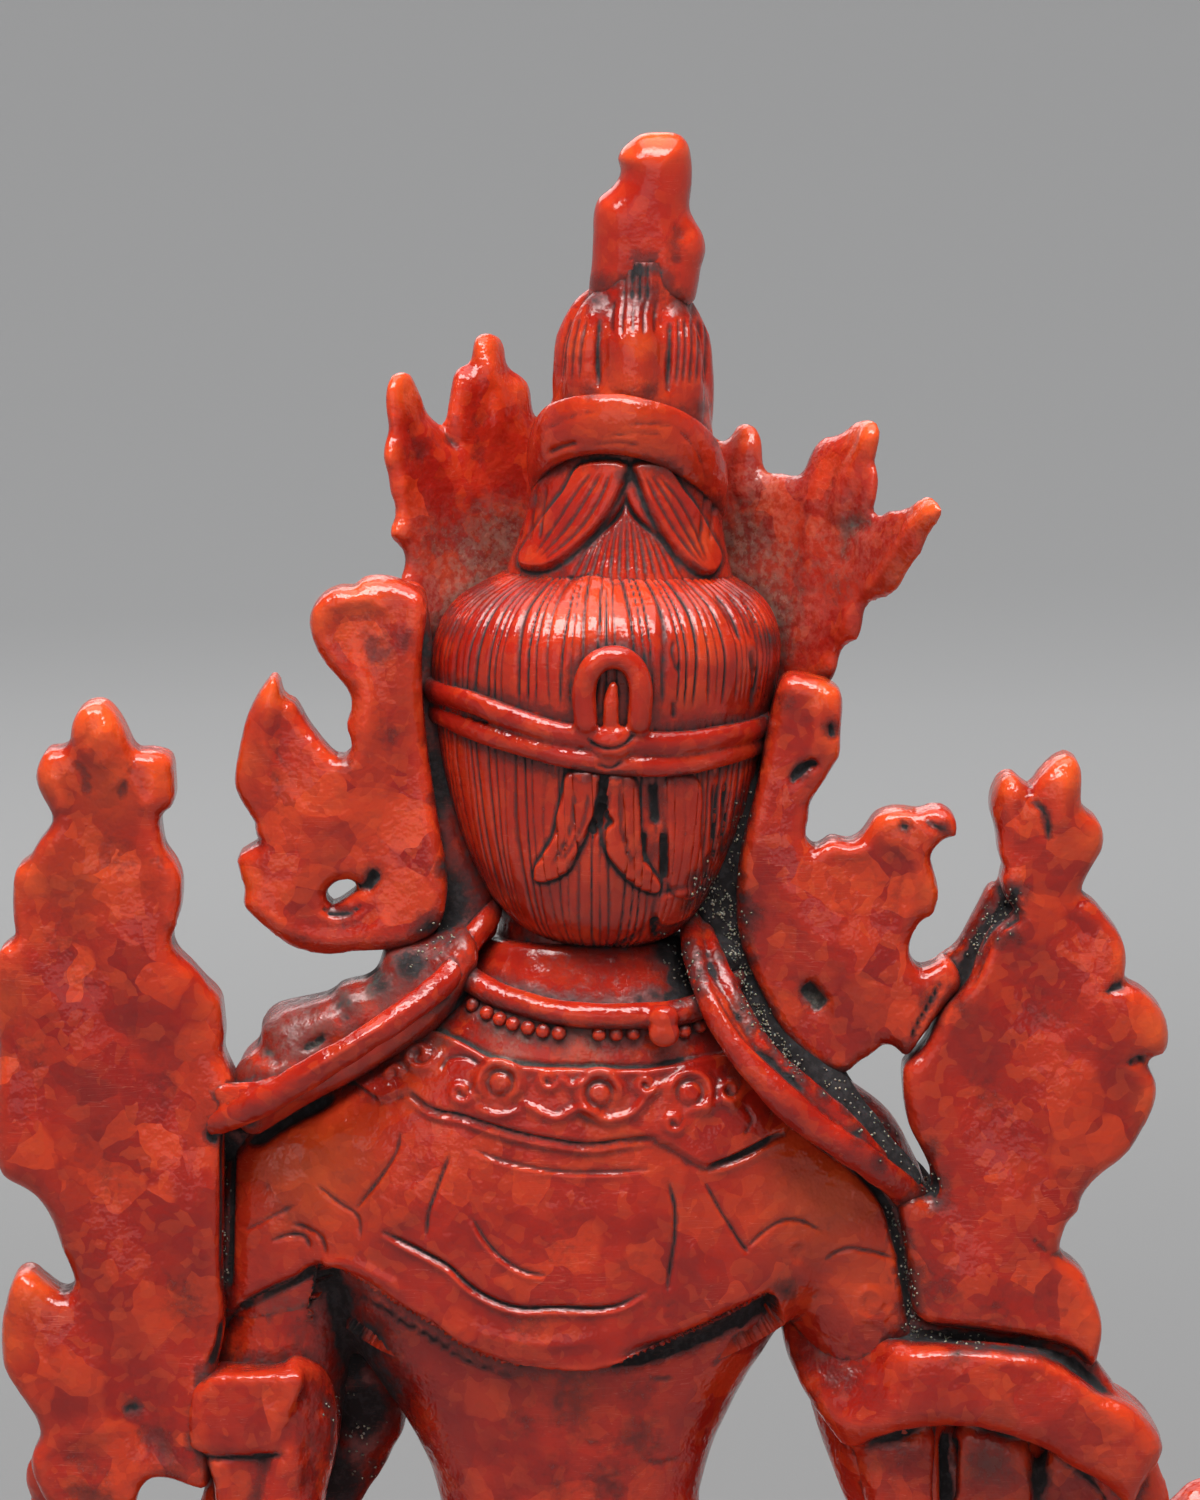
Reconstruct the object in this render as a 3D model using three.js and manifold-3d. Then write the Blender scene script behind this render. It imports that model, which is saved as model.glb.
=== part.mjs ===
// A seated White Tara with her lotus seat, cast in one piece in coral-red resin.
// Millimetres, +Z up. She faces -Y, her own left is +X, and the origin is under the middle of the seat.
import * as THREE from "three";
import { mergeVertices } from "three/addons/utils/BufferGeometryUtils.js";
import Module from "manifold-3d";

// Driving dimensions
const SEAT_HALF_WIDTH = 44;
const SEAT_HALF_DEPTH = 31;
const SEAT_HEIGHT = 30;
const SEAT_PETALS = 12;
const WAIST_HEIGHT = 57;
const SHOULDER_HEIGHT = 76;
const CHIN_HEIGHT = 93;
const HEADBAND_HEIGHT = 105.6;
const HAIR_TOP = 114.8;
const TOPKNOT_HEIGHT = 128.4;
const BODY_Y = 7;
const HEAD_Y = 6;
const PLATE_BACK_Y = 12;
const ARM_RADIUS = 4.4;
const SCARF_RADIUS = 1.25;

// How finely round forms are faceted
const LIMB_SIDES = 6;
const BODY_SIDES = 14;
const FINE_SIDES = 5;
const ARC_STEPS = 2;
const LEAST_SWELL = 0.5;
const FINEST_DETAIL = 0.15;

const wasm = await Module();
wasm.setup();
const { Manifold, Mesh } = wasm;

// A closed geometry from its points and its triangles of point numbers, turned to face outwards.
function shell(points, triangles) {
  let volume = 0;
  for (const [a, b, c] of triangles) volume += points[a].dot(points[b].clone().cross(points[c]));
  const outwards = volume < 0 ? triangles.map(([a, b, c]) => [a, c, b]) : triangles;
  return new THREE.BufferGeometry().setFromPoints(points).setIndex(outwards.flat());
}

// A three.js shape with its seams and poles closed, so that only its positions are left.
function welded(geometry) {
  geometry.deleteAttribute("normal");
  geometry.deleteAttribute("uv");
  const merged = mergeVertices(geometry, 1e-4);
  const kept = [];
  for (let i = 0; i < merged.index.count; i += 3) {
    const [a, b, c] = merged.index.array.slice(i, i + 3);
    if (a !== b && b !== c && c !== a) kept.push(a, b, c);
  }
  return merged.setIndex(kept);
}

// A closed geometry as a solid that can be joined and cut.
function solid(geometry) {
  return new Manifold(
    new Mesh({
      numProp: 3,
      vertProperties: geometry.getAttribute("position").array,
      triVerts: new Uint32Array(geometry.index.array),
    }),
  );
}

// The two triangles between neighbouring points of each pair of sections that follow one another.
function bands(sides, pairs) {
  return pairs.flatMap(([low, high]) =>
    Array.from({ length: sides }, (_, i) => {
      const j = (i + 1) % sides;
      const [a, b, c, d] = [low * sides + i, low * sides + j, high * sides + j, high * sides + i];
      return [
        [a, b, c],
        [a, c, d],
      ];
    }).flat(),
  );
}

// Skins a row of closed sections, each with as many points, and closes both ends.
function loft(sections) {
  const sides = sections[0].length;
  const middle = (section) =>
    section.reduce((sum, p) => sum.add(p), new THREE.Vector3()).divideScalar(sides);
  const count = sections.length;
  const points = [...sections.flat(), middle(sections[0]), middle(sections.at(-1))];
  const [first, last] = [count * sides, count * sides + 1];
  const triangles = bands(
    sides,
    Array.from({ length: count - 1 }, (_, k) => [k, k + 1]),
  );
  for (let i = 0; i < sides; i++) {
    const j = (i + 1) % sides;
    triangles.push([first, j, i], [last, (count - 1) * sides + i, (count - 1) * sides + j]);
  }
  return solid(shell(points, triangles));
}

// A body of ovals stacked up. Each row holds height, middle x, half-width, middle y and half-depth,
// then how deep the grooves between its lobes are and how far it droops at the back.
function stack(rows, { sides = BODY_SIDES, lobes = sides / 2 } = {}) {
  return loft(
    rows.map(([z, x, wide, y, deep, groove = 0, droop = 0]) =>
      Array.from({ length: sides }, (_, i) => {
        const angle = (2 * Math.PI * i) / sides;
        const share = 1 - (groove / wide) * Math.sin((lobes * angle) / 2) ** 2;
        return new THREE.Vector3(
          x + wide * share * Math.cos(angle),
          y + deep * share * Math.sin(angle),
          z - droop * Math.sin(angle),
        );
      }),
    ),
  );
}

// An ellipsoid, leaning by the given degrees about X, Y and Z.
function ball(place, radii, { lean = [0, 0, 0], sides = LIMB_SIDES } = {}) {
  const geometry = new THREE.SphereGeometry(1, sides, Math.max(4, Math.round(sides * 0.6)));
  const turn = new THREE.Euler(...lean.map(THREE.MathUtils.degToRad));
  const matrix = new THREE.Matrix4().compose(
    new THREE.Vector3(...place),
    new THREE.Quaternion().setFromEuler(turn),
    new THREE.Vector3(...radii),
  );
  return solid(welded(geometry).applyMatrix4(matrix));
}

// A tapering round or oval limb along a smooth path. Each radius is a number, or [across, through],
// where "through" is measured along the flat direction. A limb ends in a dome, or squarely if blunt.
function limb(points, radii, { sides = LIMB_SIDES, steps = 1, flat = [0, 1, 0], blunt = false } = {}) {
  const path = new THREE.CatmullRomCurve3(points.map((p) => new THREE.Vector3(...p)));
  const spans = (points.length - 1) * steps;
  const through = new THREE.Vector3(...flat);
  const radiusAt = (t) => {
    const place = t * (radii.length - 1);
    const from = Math.min(Math.floor(place), radii.length - 2);
    const pair = (r) => (Array.isArray(r) ? r : [r, r]);
    const [a, b] = [pair(radii[from]), pair(radii[from + 1])];
    return a.map((r, k) => r + (b[k] - r) * (place - from));
  };
  const section = (t, reach = 0, shrink = 1) => {
    const along = path.getTangent(t);
    const [across, thick] = radiusAt(t).map((r) => r * shrink);
    const normal = through.clone().addScaledVector(along, -through.dot(along)).normalize();
    const side = new THREE.Vector3().crossVectors(along, normal);
    const centre = path.getPoint(t).addScaledVector(along, reach * Math.min(across, thick));
    return Array.from({ length: sides }, (_, i) => {
      const angle = (2 * Math.PI * i) / sides;
      return centre
        .clone()
        .addScaledVector(side, across * Math.cos(angle))
        .addScaledVector(normal, thick * Math.sin(angle));
    });
  };
  const sections = Array.from({ length: spans + 1 }, (_, i) => section(i / spans));
  if (blunt) return loft(sections);
  return loft([section(0, -0.9, 0.6), ...sections, section(1, 0.9, 0.6)]);
}

// A closed ring of cord: place gives the point at an angle, in turns from +X towards +Y.
// Every second section of a beaded one is drawn in.
function ring(place, radius, { count = 24, sides = FINE_SIDES, tall = radius, beaded = false } = {}) {
  const points = Array.from({ length: count }, (_, k) => {
    const here = new THREE.Vector3(...place(k / count));
    const ahead = new THREE.Vector3(...place((k + 1) / count));
    const behind = new THREE.Vector3(...place((k - 1) / count));
    const along = ahead.sub(behind).normalize();
    const up = new THREE.Vector3(0, 0, 1).addScaledVector(along, -along.z).normalize();
    const out = new THREE.Vector3().crossVectors(along, up);
    const girth = beaded && k % 2 ? 0.55 : 1;
    return Array.from({ length: sides }, (_, i) => {
      const angle = (2 * Math.PI * i) / sides;
      return here
        .clone()
        .addScaledVector(out, radius * girth * Math.cos(angle))
        .addScaledVector(up, tall * girth * Math.sin(angle));
    });
  }).flat();
  const pairs = Array.from({ length: count }, (_, k) => [k, (k + 1) % count]);
  return solid(shell(points, bands(sides, pairs)));
}

// The points of an outline given as corners [x, z, swell]: the stretch from each corner to the next
// is an arc that swells outwards by that many millimetres, or straight if it swells too little to show.
function scallops(outline) {
  const next = (i) => outline[(i + 1) % outline.length];
  const area = outline.reduce((sum, [x, z], i) => sum + x * next(i)[1] - next(i)[0] * z, 0);
  const outwards = Math.sign(area);
  return outline.flatMap(([x, z, swell = 0], i) => {
    const [endX, endZ] = next(i);
    const [alongX, alongZ] = [endX - x, endZ - z];
    const chord = Math.hypot(alongX, alongZ);
    const steps = Math.abs(swell) < LEAST_SWELL ? 1 : ARC_STEPS;
    return Array.from({ length: steps }, (_, k) => {
      const t = k / steps;
      const rise = (4 * t * (1 - t) * swell * outwards) / chord;
      return new THREE.Vector2(x + alongX * t + alongZ * rise, z + alongZ * t - alongX * rise);
    });
  });
}

// A flat-backed carved plate that stands in the XZ plane with its back at y = back and soft edges.
// shape moves each point of it, so that it can curve or lean.
function plate(outline, { back = PLATE_BACK_Y, thick, edge = 1, shape = (p) => p }) {
  const rim = scallops(outline);
  const count = rim.length;
  const turn = Math.sign(THREE.ShapeUtils.area(rim));
  const inset = rim.map((p, i) => {
    const [from, to] = [rim.at(i - 1), rim[(i + 1) % count]];
    const inwards = (a, b) => new THREE.Vector2(a.y - b.y, b.x - a.x).normalize().multiplyScalar(turn);
    const bisector = inwards(from, p).add(inwards(p, to)).normalize();
    return bisector.multiplyScalar(edge).add(p);
  });
  const front = back - thick;
  const layers = [
    [inset, back],
    [rim, back - edge],
    [rim, front + edge],
    [inset, front],
  ];
  const points = layers.flatMap(([loop, y]) => loop.map((p) => shape(new THREE.Vector3(p.x, y, p.y))));
  const caps = THREE.ShapeUtils.triangulateShape(rim, []);
  const far = 3 * count;
  const triangles = bands(count, [
    [0, 1],
    [1, 2],
    [2, 3],
  ]);
  const forwards = caps.some((t) => t.some((v, k) => (v + 1) % count === t[(k + 1) % 3]));
  for (const [i, j, k] of caps) {
    if (forwards) triangles.push([k, j, i], [far + i, far + j, far + k]);
    else triangles.push([i, j, k], [far + k, far + j, far + i]);
  }
  return solid(shell(points, triangles));
}

// Joins any number of solids into one.
const join = (...solids) => Manifold.union(solids.flat(Infinity));

// The oval lotus seat, its sections drawn in and out, up and down, into a row of petals that opens
// upwards and one that hangs down. Each row holds height, share of the full half-width, then how much
// higher the section climbs and how much further it swells at the middle of a petal.
function seat() {
  const rows = [
    [0, 1, 0, 0],
    [2.8, 0.98, 0, 0],
    [6.2, 0.9, -2.2, 0.01],
    [6.6, 0.93, -2.2, 0.035],
    [10, 0.87, 0, 0.055],
    [14.2, 0.8, 0, 0.03],
    [16, 0.8, 0, 0.03],
    [20, 0.87, 0, 0.06],
    [23.6, 0.9, 2.4, 0.05],
    [24, 0.87, 2.4, 0.02],
    [27, 0.95, 0, 0],
    [SEAT_HEIGHT, 0.965, 0, 0],
  ];
  const pointsPerPetal = 4;
  const sides = SEAT_PETALS * pointsPerPetal;
  return loft(
    rows.map(([height, share, climb, swell]) =>
      Array.from({ length: sides }, (_, i) => {
        const angle = (2 * Math.PI * i) / sides;
        const middle = Math.abs(Math.sin((Math.PI * i) / pointsPerPetal));
        const reach = share + swell * middle - (swell ? 0.02 : 0);
        return new THREE.Vector3(
          SEAT_HALF_WIDTH * reach * Math.cos(angle),
          SEAT_HALF_DEPTH * reach * Math.sin(angle),
          height + climb * middle,
        );
      }),
    ),
  );
}

// Both legs folded in the full lotus, each foot on the other thigh, in a skirt that spreads in front.
function legs() {
  const kneeHeight = 37.5;
  const parts = [];
  for (const side of [1, -1]) {
    const onTop = side < 0 ? 1.8 : 0;
    parts.push(
      limb(
        [[side * 9, 6, 39], [side * 24, 0, 39], [side * 34, -8, kneeHeight]],
        [9, 8, 6.4],
      ),
      limb(
        [[side * 34, -9, kneeHeight - 1], [side * 18, -19, 35.5 + onTop], [side * -4, -22, 37.5 + onTop]],
        [6.2, 5, 3.6],
      ),
      limb(
        [[side * -2, -21, 38.5 + onTop], [side * -9, -19, 41 + onTop], [side * -17, -15, 43]],
        [[3, 2.4], [3.8, 2.2], [3.4, 1.4]],
        { flat: [0, 0, 1] },
      ),
    );
  }
  const hips = stack([
    [29.5, 0.5, 19, 4, 11.5],
    [36, 0.5, 18, 4.5, 11],
    [42, 1, 15, 5.5, 9.5],
    [48, 1.4, 12, 6.5, 8],
  ]);
  const lap = ball([0, -12, 34], [24, 13, 6], { sides: 14 });
  const hem = limb(
    [[-21, -21.5, 30.8], [-9, -26.5, 30.8], [9, -26.5, 30.8], [21, -21.5, 30.8]],
    [[2.6, 1.6], [3.6, 1.8], [3.6, 1.8], [2.6, 1.6]],
    { flat: [0, 0, 1], sides: 8 },
  );
  return join(parts, hips, lap, hem);
}

// The bare waist and breast above a rolled sash, and the shawl that covers her shoulders and upper
// back, its hem drooping at the back under a collar set with rosettes.
function torso() {
  const trunk = stack([
    [45, 1.4, 11, BODY_Y, 7.6],
    [46.2, 1.4, 13, BODY_Y, 8.8],
    [49.4, 1.5, 12.4, BODY_Y, 8.4],
    [50.4, 1.6, 10, BODY_Y, 7],
    [WAIST_HEIGHT, 1.8, 7.9, BODY_Y, 6.2],
    [62, 2.1, 9.3, BODY_Y, 6.4],
    [68, 2.4, 13, BODY_Y, 7],
    [75, 1.6, 17, BODY_Y, 7.2],
    [81, 1, 14, BODY_Y, 6],
    [86, 1, 6.4, BODY_Y, 5],
  ]);
  const droop = 3.2;
  const shawl = stack(
    [
      [69.6, 2.4, 11.5, BODY_Y, 6.8, 0, droop],
      [70.2, 2.3, 14.2, BODY_Y, 7.8, 0, droop],
      [73, 2.1, 18.6, BODY_Y, 8, 0, droop / 2],
      [SHOULDER_HEIGHT + 1, 1.9, 20.2, BODY_Y, 8],
      [81, 1.6, 18.4, BODY_Y, 7.6],
      [85, 1.2, 12.6, BODY_Y, 6.8],
      [89.4, 1, 6.2, BODY_Y - 0.6, 5],
    ],
    { sides: 18 },
  );
  const breasts = [1, -1].map((side) =>
    ball([1.6 + side * 6, BODY_Y - 5.4, 72.6], [5, 4.6, 4.8], { sides: 8 }),
  );
  const neck = stack(
    [
      [86, 1, 6.4, BODY_Y - 1, 5.8],
      [90, 1, 5.7, BODY_Y - 1.2, 5.3],
      [96, 0.6, 5.7, BODY_Y - 1.6, 5.4],
    ],
    { sides: 10 },
  );
  const collarEdge = limb(
    [
      [12.6, 10.4, 84.9],
      [7.4, 13.5, 82.2],
      [1.2, 14.7, 81],
      [-5, 13.5, 82.2],
      [-10, 10.4, 84.7],
    ],
    [0.8, 1, 0.8],
  );
  const rosettes = [
    [9.6, 12, 86],
    [5.7, 13.2, 84.4],
    [-0.3, 13.7, 83.7],
    [-5.4, 13.2, 84.2],
    [-8.7, 11.4, 85.4],
  ].map((place) => ball(place, [1.5, 1.1, 1.3], { sides: FINE_SIDES }));
  return join(trunk, shawl, breasts, neck, collarEdge, rosettes);
}

// Both arms: her right hand lies open on the knee, her left is raised before the breast.
function arms() {
  const [shoulder, wrist, hand] = [5.4, 2.5, [3.1, 1.7]];
  const left = limb(
    [
      [18.4, BODY_Y, SHOULDER_HEIGHT + 2],
      [19.8, BODY_Y, 68.5],
      [20.2, BODY_Y - 1.4, 60.6],
      [17.4, -4.5, 63.4],
      [11, -11, 70],
      [9, -12.4, 74.4],
    ],
    [shoulder, ARM_RADIUS, ARM_RADIUS, 3.5, wrist, hand],
    { sides: 8 },
  );
  const right = limb(
    [
      [-14.6, BODY_Y, SHOULDER_HEIGHT + 1],
      [-16.4, BODY_Y, 66.5],
      [-19.8, BODY_Y - 1.6, 57.4],
      [-26, -6, 51],
      [-30, -13.8, 46.2],
      [-31.4, -17.6, 42.6],
    ],
    [shoulder, ARM_RADIUS, ARM_RADIUS, 3.4, wrist, hand],
    { sides: 8, flat: [-0.5, -0.7, 0.7] },
  );
  const fingerCount = 4;
  const fingers = [];
  for (let i = 0; i < fingerCount; i++) {
    const spread = (i - (fingerCount - 1) / 2) * 1.45;
    const reach = 5.6 - Math.abs(i - 1.2) * 0.7;
    const curl = i === 0 ? 2.6 : 0;
    fingers.push(
      limb(
        [
          [8.8 - spread, -12.4, 74],
          [8.5 - spread * 1.1, -13 - curl * 0.6, 76 + reach * 0.6],
          [8.3 - spread * 1.1, -12.6 - curl, 76 + reach - curl],
        ],
        [0.7, 0.7, 0.6],
        { sides: 4, blunt: true },
      ),
      limb(
        [
          [-31.4 + spread, -17.6, 43.2],
          [-32.4 + spread * 1.1, -20.4 - reach * 0.2, 41.4 - reach * 0.5],
          [-32.8 + spread * 1.1, -21 - reach * 0.25, 41 - reach],
        ],
        [0.7, 0.7, 0.6],
        { sides: 4, blunt: true },
      ),
    );
  }
  const thumbs = [
    limb([[6.6, -12, 73.5], [5.2, -13.8, 75.6], [6.6, -15, 77.6]], [1, 0.9, 0.7], {
      sides: FINE_SIDES,
    }),
    limb([[-28.6, -15.5, 45], [-27.2, -18.6, 42.6], [-27.6, -20.4, 40]], [1, 0.9, 0.7], {
      sides: FINE_SIDES,
    }),
  ];
  const bangle = (place, along, radius) => {
    const tilt = new THREE.Quaternion().setFromUnitVectors(
      new THREE.Vector3(0, 0, 1),
      new THREE.Vector3(...along).normalize(),
    );
    const torus = new THREE.TorusGeometry(radius, 0.8, 3, 8).applyQuaternion(tilt);
    return solid(welded(torus).translate(...place));
  };
  const bangles = [
    bangle([12.2, -10, 68.8], [-6.5, -6, 7], 2.8),
    bangle([-29.2, -12.2, 47.3], [-4, -8, -4.5], 2.8),
  ];
  return join(left, right, fingers, thumbs, bangles);
}

// The face is a calm mask of plain proportions, with long ears and round earrings.
function face() {
  const faceY = HEAD_Y - 4;
  const skull = stack([
    [CHIN_HEIGHT - 0.4, 0, 2.4, faceY - 3.6, 2.8],
    [CHIN_HEIGHT + 1.2, 0, 4.6, faceY - 2.2, 4.6],
    [CHIN_HEIGHT + 4.2, 0, 7.2, faceY - 0.6, 6.8],
    [CHIN_HEIGHT + 8.4, 0, 8.7, faceY, 8],
    [CHIN_HEIGHT + 12.6, 0, 9, faceY, 8.2],
    [CHIN_HEIGHT + 17, 0, 8.6, faceY + 0.4, 7.9],
    [CHIN_HEIGHT + 20, 0, 6.4, faceY + 1, 6.4],
  ]);
  const front = faceY - 8;
  const nose = limb(
    [
      [0, front + 0.9, CHIN_HEIGHT + 10.8],
      [0, front - 0.4, CHIN_HEIGHT + 8],
      [0, front - 1.1, CHIN_HEIGHT + 6],
    ],
    [0.6, 0.8, 1.2],
    { sides: FINE_SIDES },
  );
  const features = [1, -1].flatMap((side) => [
    ball([side * 3.3, front + 1.1, CHIN_HEIGHT + 9.2], [2, 1.1, 0.85], { sides: 8 }),
    limb(
      [
        [side * 1, front + 0.9, CHIN_HEIGHT + 10.9],
        [side * 3.4, front + 0.9, CHIN_HEIGHT + 12],
        [side * 5.8, front + 2.3, CHIN_HEIGHT + 11],
      ],
      [0.5, 0.6, 0.4],
      { sides: FINE_SIDES },
    ),
    ball([side * 0.9, front - 0.3, CHIN_HEIGHT + 5.8], [0.7, 0.8, 0.55], { sides: 6 }),
    ball([side * 9.2, HEAD_Y - 3.6, CHIN_HEIGHT + 7.6], [1.3, 2.2, 4.6], { lean: [8, 0, 0] }),
    ball([side * 9.2, HEAD_Y - 4, CHIN_HEIGHT + 2.2], [1.6, 2.2, 2.2], { sides: 6 }),
  ]);
  const lips = [
    ball([0, front + 0.6, CHIN_HEIGHT + 3.9], [1.9, 1, 0.45], { sides: 8 }),
    ball([0, front + 0.9, CHIN_HEIGHT + 3.1], [1.5, 1, 0.5], { sides: 8 }),
  ];
  const thirdEye = ball([0, front + 0.6, CHIN_HEIGHT + 13], [0.5, 0.6, 1.2], { sides: 6 });
  return join(skull, nose, features, lips, thirdEye);
}

// The combed cap of hair and the two cords that tie it, knotted at the back with two short tails.
function hair() {
  const [comb, sag] = [0.45, 2.5];
  const cap = stack(
    [
      [92.2, 0.6, 5.6, HEAD_Y + 1.6, 5.8, comb],
      [94, 0.4, 7.6, HEAD_Y + 1.2, 7.4, comb],
      [97.5, 0, 9.3, HEAD_Y + 0.6, 8.8, comb],
      [101.2, 0, 9.8, HEAD_Y, 9.2, comb, sag / 3],
      [HEADBAND_HEIGHT - 1.6, 0, 10, HEAD_Y, 9.4, 0.2, sag],
      [HEADBAND_HEIGHT - 1.3, 0, 10.9, HEAD_Y, 10.3, 0, sag],
      [HEADBAND_HEIGHT + 0.3, 0, 10.9, HEAD_Y, 10.3, 0, sag],
      [HEADBAND_HEIGHT + 0.7, 0, 10.2, HEAD_Y, 9.6, 0, sag],
      [HEADBAND_HEIGHT + 1.1, 0, 11, HEAD_Y, 10.4, 0, sag],
      [HEADBAND_HEIGHT + 2.6, 0, 11, HEAD_Y, 10.4, 0, sag],
      [HEADBAND_HEIGHT + 3, 0, 10.4, HEAD_Y, 9.8, 0.2, sag],
      [HAIR_TOP - 4.6, -0.1, 10.8, HEAD_Y - 0.1, 9.9, comb, sag / 2],
      [HAIR_TOP - 2, -0.4, 9.4, HEAD_Y - 0.4, 8.6, comb],
      [HAIR_TOP - 0.6, -0.8, 7.2, HEAD_Y - 0.8, 6.8, comb],
      [HAIR_TOP, -1, 4, HEAD_Y - 1, 4],
    ],
    { sides: 28 },
  );
  const [knotX, knotY] = [-0.7, HEAD_Y + 10.2];
  const loop = limb(
    [
      [knotX + 1.5, knotY, 105.6],
      [knotX + 1.5, knotY, 107.6],
      [knotX, knotY - 0.1, 109.3],
      [knotX - 1.5, knotY, 107.6],
      [knotX - 1.5, knotY, 105.6],
    ],
    [0.8, 0.8],
    { sides: FINE_SIDES },
  );
  const knot = ball([knotX, knotY - 0.3, HEADBAND_HEIGHT - 1], [1.9, 1.1, 1.7], { sides: 8 });
  const tails = [
    [[0.4, knotY - 0.8, 103], [1.6, knotY - 0.8, 100], [3, knotY - 1.3, 96.8]],
    [[-1.9, knotY - 0.8, 103], [-2.4, knotY - 0.8, 99.6], [-3.2, knotY - 1.4, 96.2]],
  ].map((path) => limb(path, [[0.9, 0.7], [1.3, 0.8], [0.9, 0.5]], { sides: FINE_SIDES }));
  return join(cap, loop, knot, tails);
}

// The gathered topknot: combed foot, two hanging loops, a slanting strap, a ring of bulges and a jewel.
function topknot() {
  const axis = [-2, 4.2];
  const foot = stack(
    [
      [112.5, -1.2, 6.8, 4.6, 6.4, 0.4],
      [116, -1.5, 5.8, 4.4, 5.8, 0.4],
      [121, -1.8, 5.2, 4.2, 5.4, 0.4],
      [126, -2, 4.8, 4.2, 4.9],
    ],
    { sides: 16 },
  );
  const loops = [1, -1].map((side) =>
    limb(
      [
        [-1.6 + side * 0.9, 9.8, 121],
        [-1.4 + side * 3.2, 9.6, 118.6],
        [-1.2 + side * 6, 7.8, 115.2],
      ],
      [[1.3, 1], [2.1, 1.2], [1.2, 0.9]],
      { sides: 6 },
    ),
  );
  const strap = ring(
    (turn) => {
      const angle = 2 * Math.PI * turn;
      const [across, through] = [5.3 * Math.cos(angle), 5.7 * Math.sin(angle)];
      return [axis[0] + 0.3 + across, axis[1] + through, 120 + 0.62 * through];
    },
    1.2,
    { count: 14, tall: 2 },
  );
  const bulges = stack(
    [
      [TOPKNOT_HEIGHT - 4, axis[0], 3.8, axis[1], 3.6],
      [TOPKNOT_HEIGHT - 2.4, axis[0], 5.4, axis[1], 5.2, 2.2],
      [TOPKNOT_HEIGHT + 1.2, axis[0] - 0.1, 5.4, axis[1], 5.2, 2.2],
      [TOPKNOT_HEIGHT + 3.2, axis[0] - 0.4, 3.4, axis[1], 3.2, 0.4],
      [TOPKNOT_HEIGHT + 5, axis[0] - 0.8, 2.4, axis[1] - 0.4, 2.2],
    ],
    { sides: 16, lobes: 4 },
  );
  const jewel = plate(
    [
      [0.3, 131.6, 0.3],
      [0.5, 136.4, 0.4],
      [-1.5, 139.2, -0.3],
      [-1.3, 140.2, 0.3],
      [-3.4, 141, 0.2],
      [-5.4, 140.4, 0.2],
      [-5.5, 136.6, 0.9],
      [-5.5, 131.4],
    ],
    { back: 6.4, thick: 5.2, edge: 1.4 },
  );
  return join(foot, loops, strap, bulges, jewel);
}

// The crown: a band round the brow with five flame-edged leaves that lean outwards.
function crown() {
  const wrap = (p) => {
    p.y += 0.045 * p.x * p.x - 0.16 * (p.z - 112);
    return p;
  };
  const [back, thick] = [-1.4, 2.8];
  const outlines = [
    [
      [0, 131, 0.5],
      [3, 125.6, 1],
      [4.4, 119, 0.6],
      [3.6, 108],
      [-3.6, 108, 0.6],
      [-4.4, 119, 1],
      [-3, 125.6, 0.5],
    ],
    [
      [7, 128.2, 0.3],
      [5.8, 126, 0.6],
      [4, 122.6, 0.5],
      [4.6, 109],
      [10, 109],
      [9.4, 121.4, 0.6],
      [8.8, 125.4, 0.4],
    ],
    [
      [12.2, 126.6],
      [10.8, 123.6, -0.4],
      [8.6, 120, -0.4],
      [8, 109],
      [11.8, 108.4],
      [12.2, 113.4, 0.5],
      [12.4, 117.6, 0.7],
      [13, 123, 0.4],
    ],
    [
      [-8.8, 122.6, 0.3],
      [-9.8, 120.4],
      [-10, 109],
      [-5, 109],
      [-5.2, 119.6, 0.8],
      [-7.2, 121.4],
    ],
    [
      [-16, 123.2, 0.4],
      [-16.2, 119.8, 0.4],
      [-15.6, 117.4, -0.6],
      [-20, 118.4, 0.5],
      [-18.2, 113.8, 0.4],
      [-15.6, 112.4, 0.4],
      [-15.2, 110.2, 0.3],
      [-13, 107.4],
      [-8, 108],
      [-9.4, 118.2, -0.4],
      [-12.8, 120.6, 0.5],
    ],
  ];
  const leaves = outlines.map((outline) => plate(outline, { back, thick, edge: 0.9, shape: wrap }));
  const brow = ring(
    (turn) => {
      const angle = Math.PI + Math.PI * 2 * turn;
      const front = Math.max(0, -Math.sin(angle));
      return [9.4 * Math.cos(angle), HEAD_Y - 3.4 + 8.6 * Math.sin(angle), 107.6 + 0.8 * front];
    },
    1.1,
    { count: 12, tall: 1.4 },
  );
  return join(leaves, brow);
}

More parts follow.
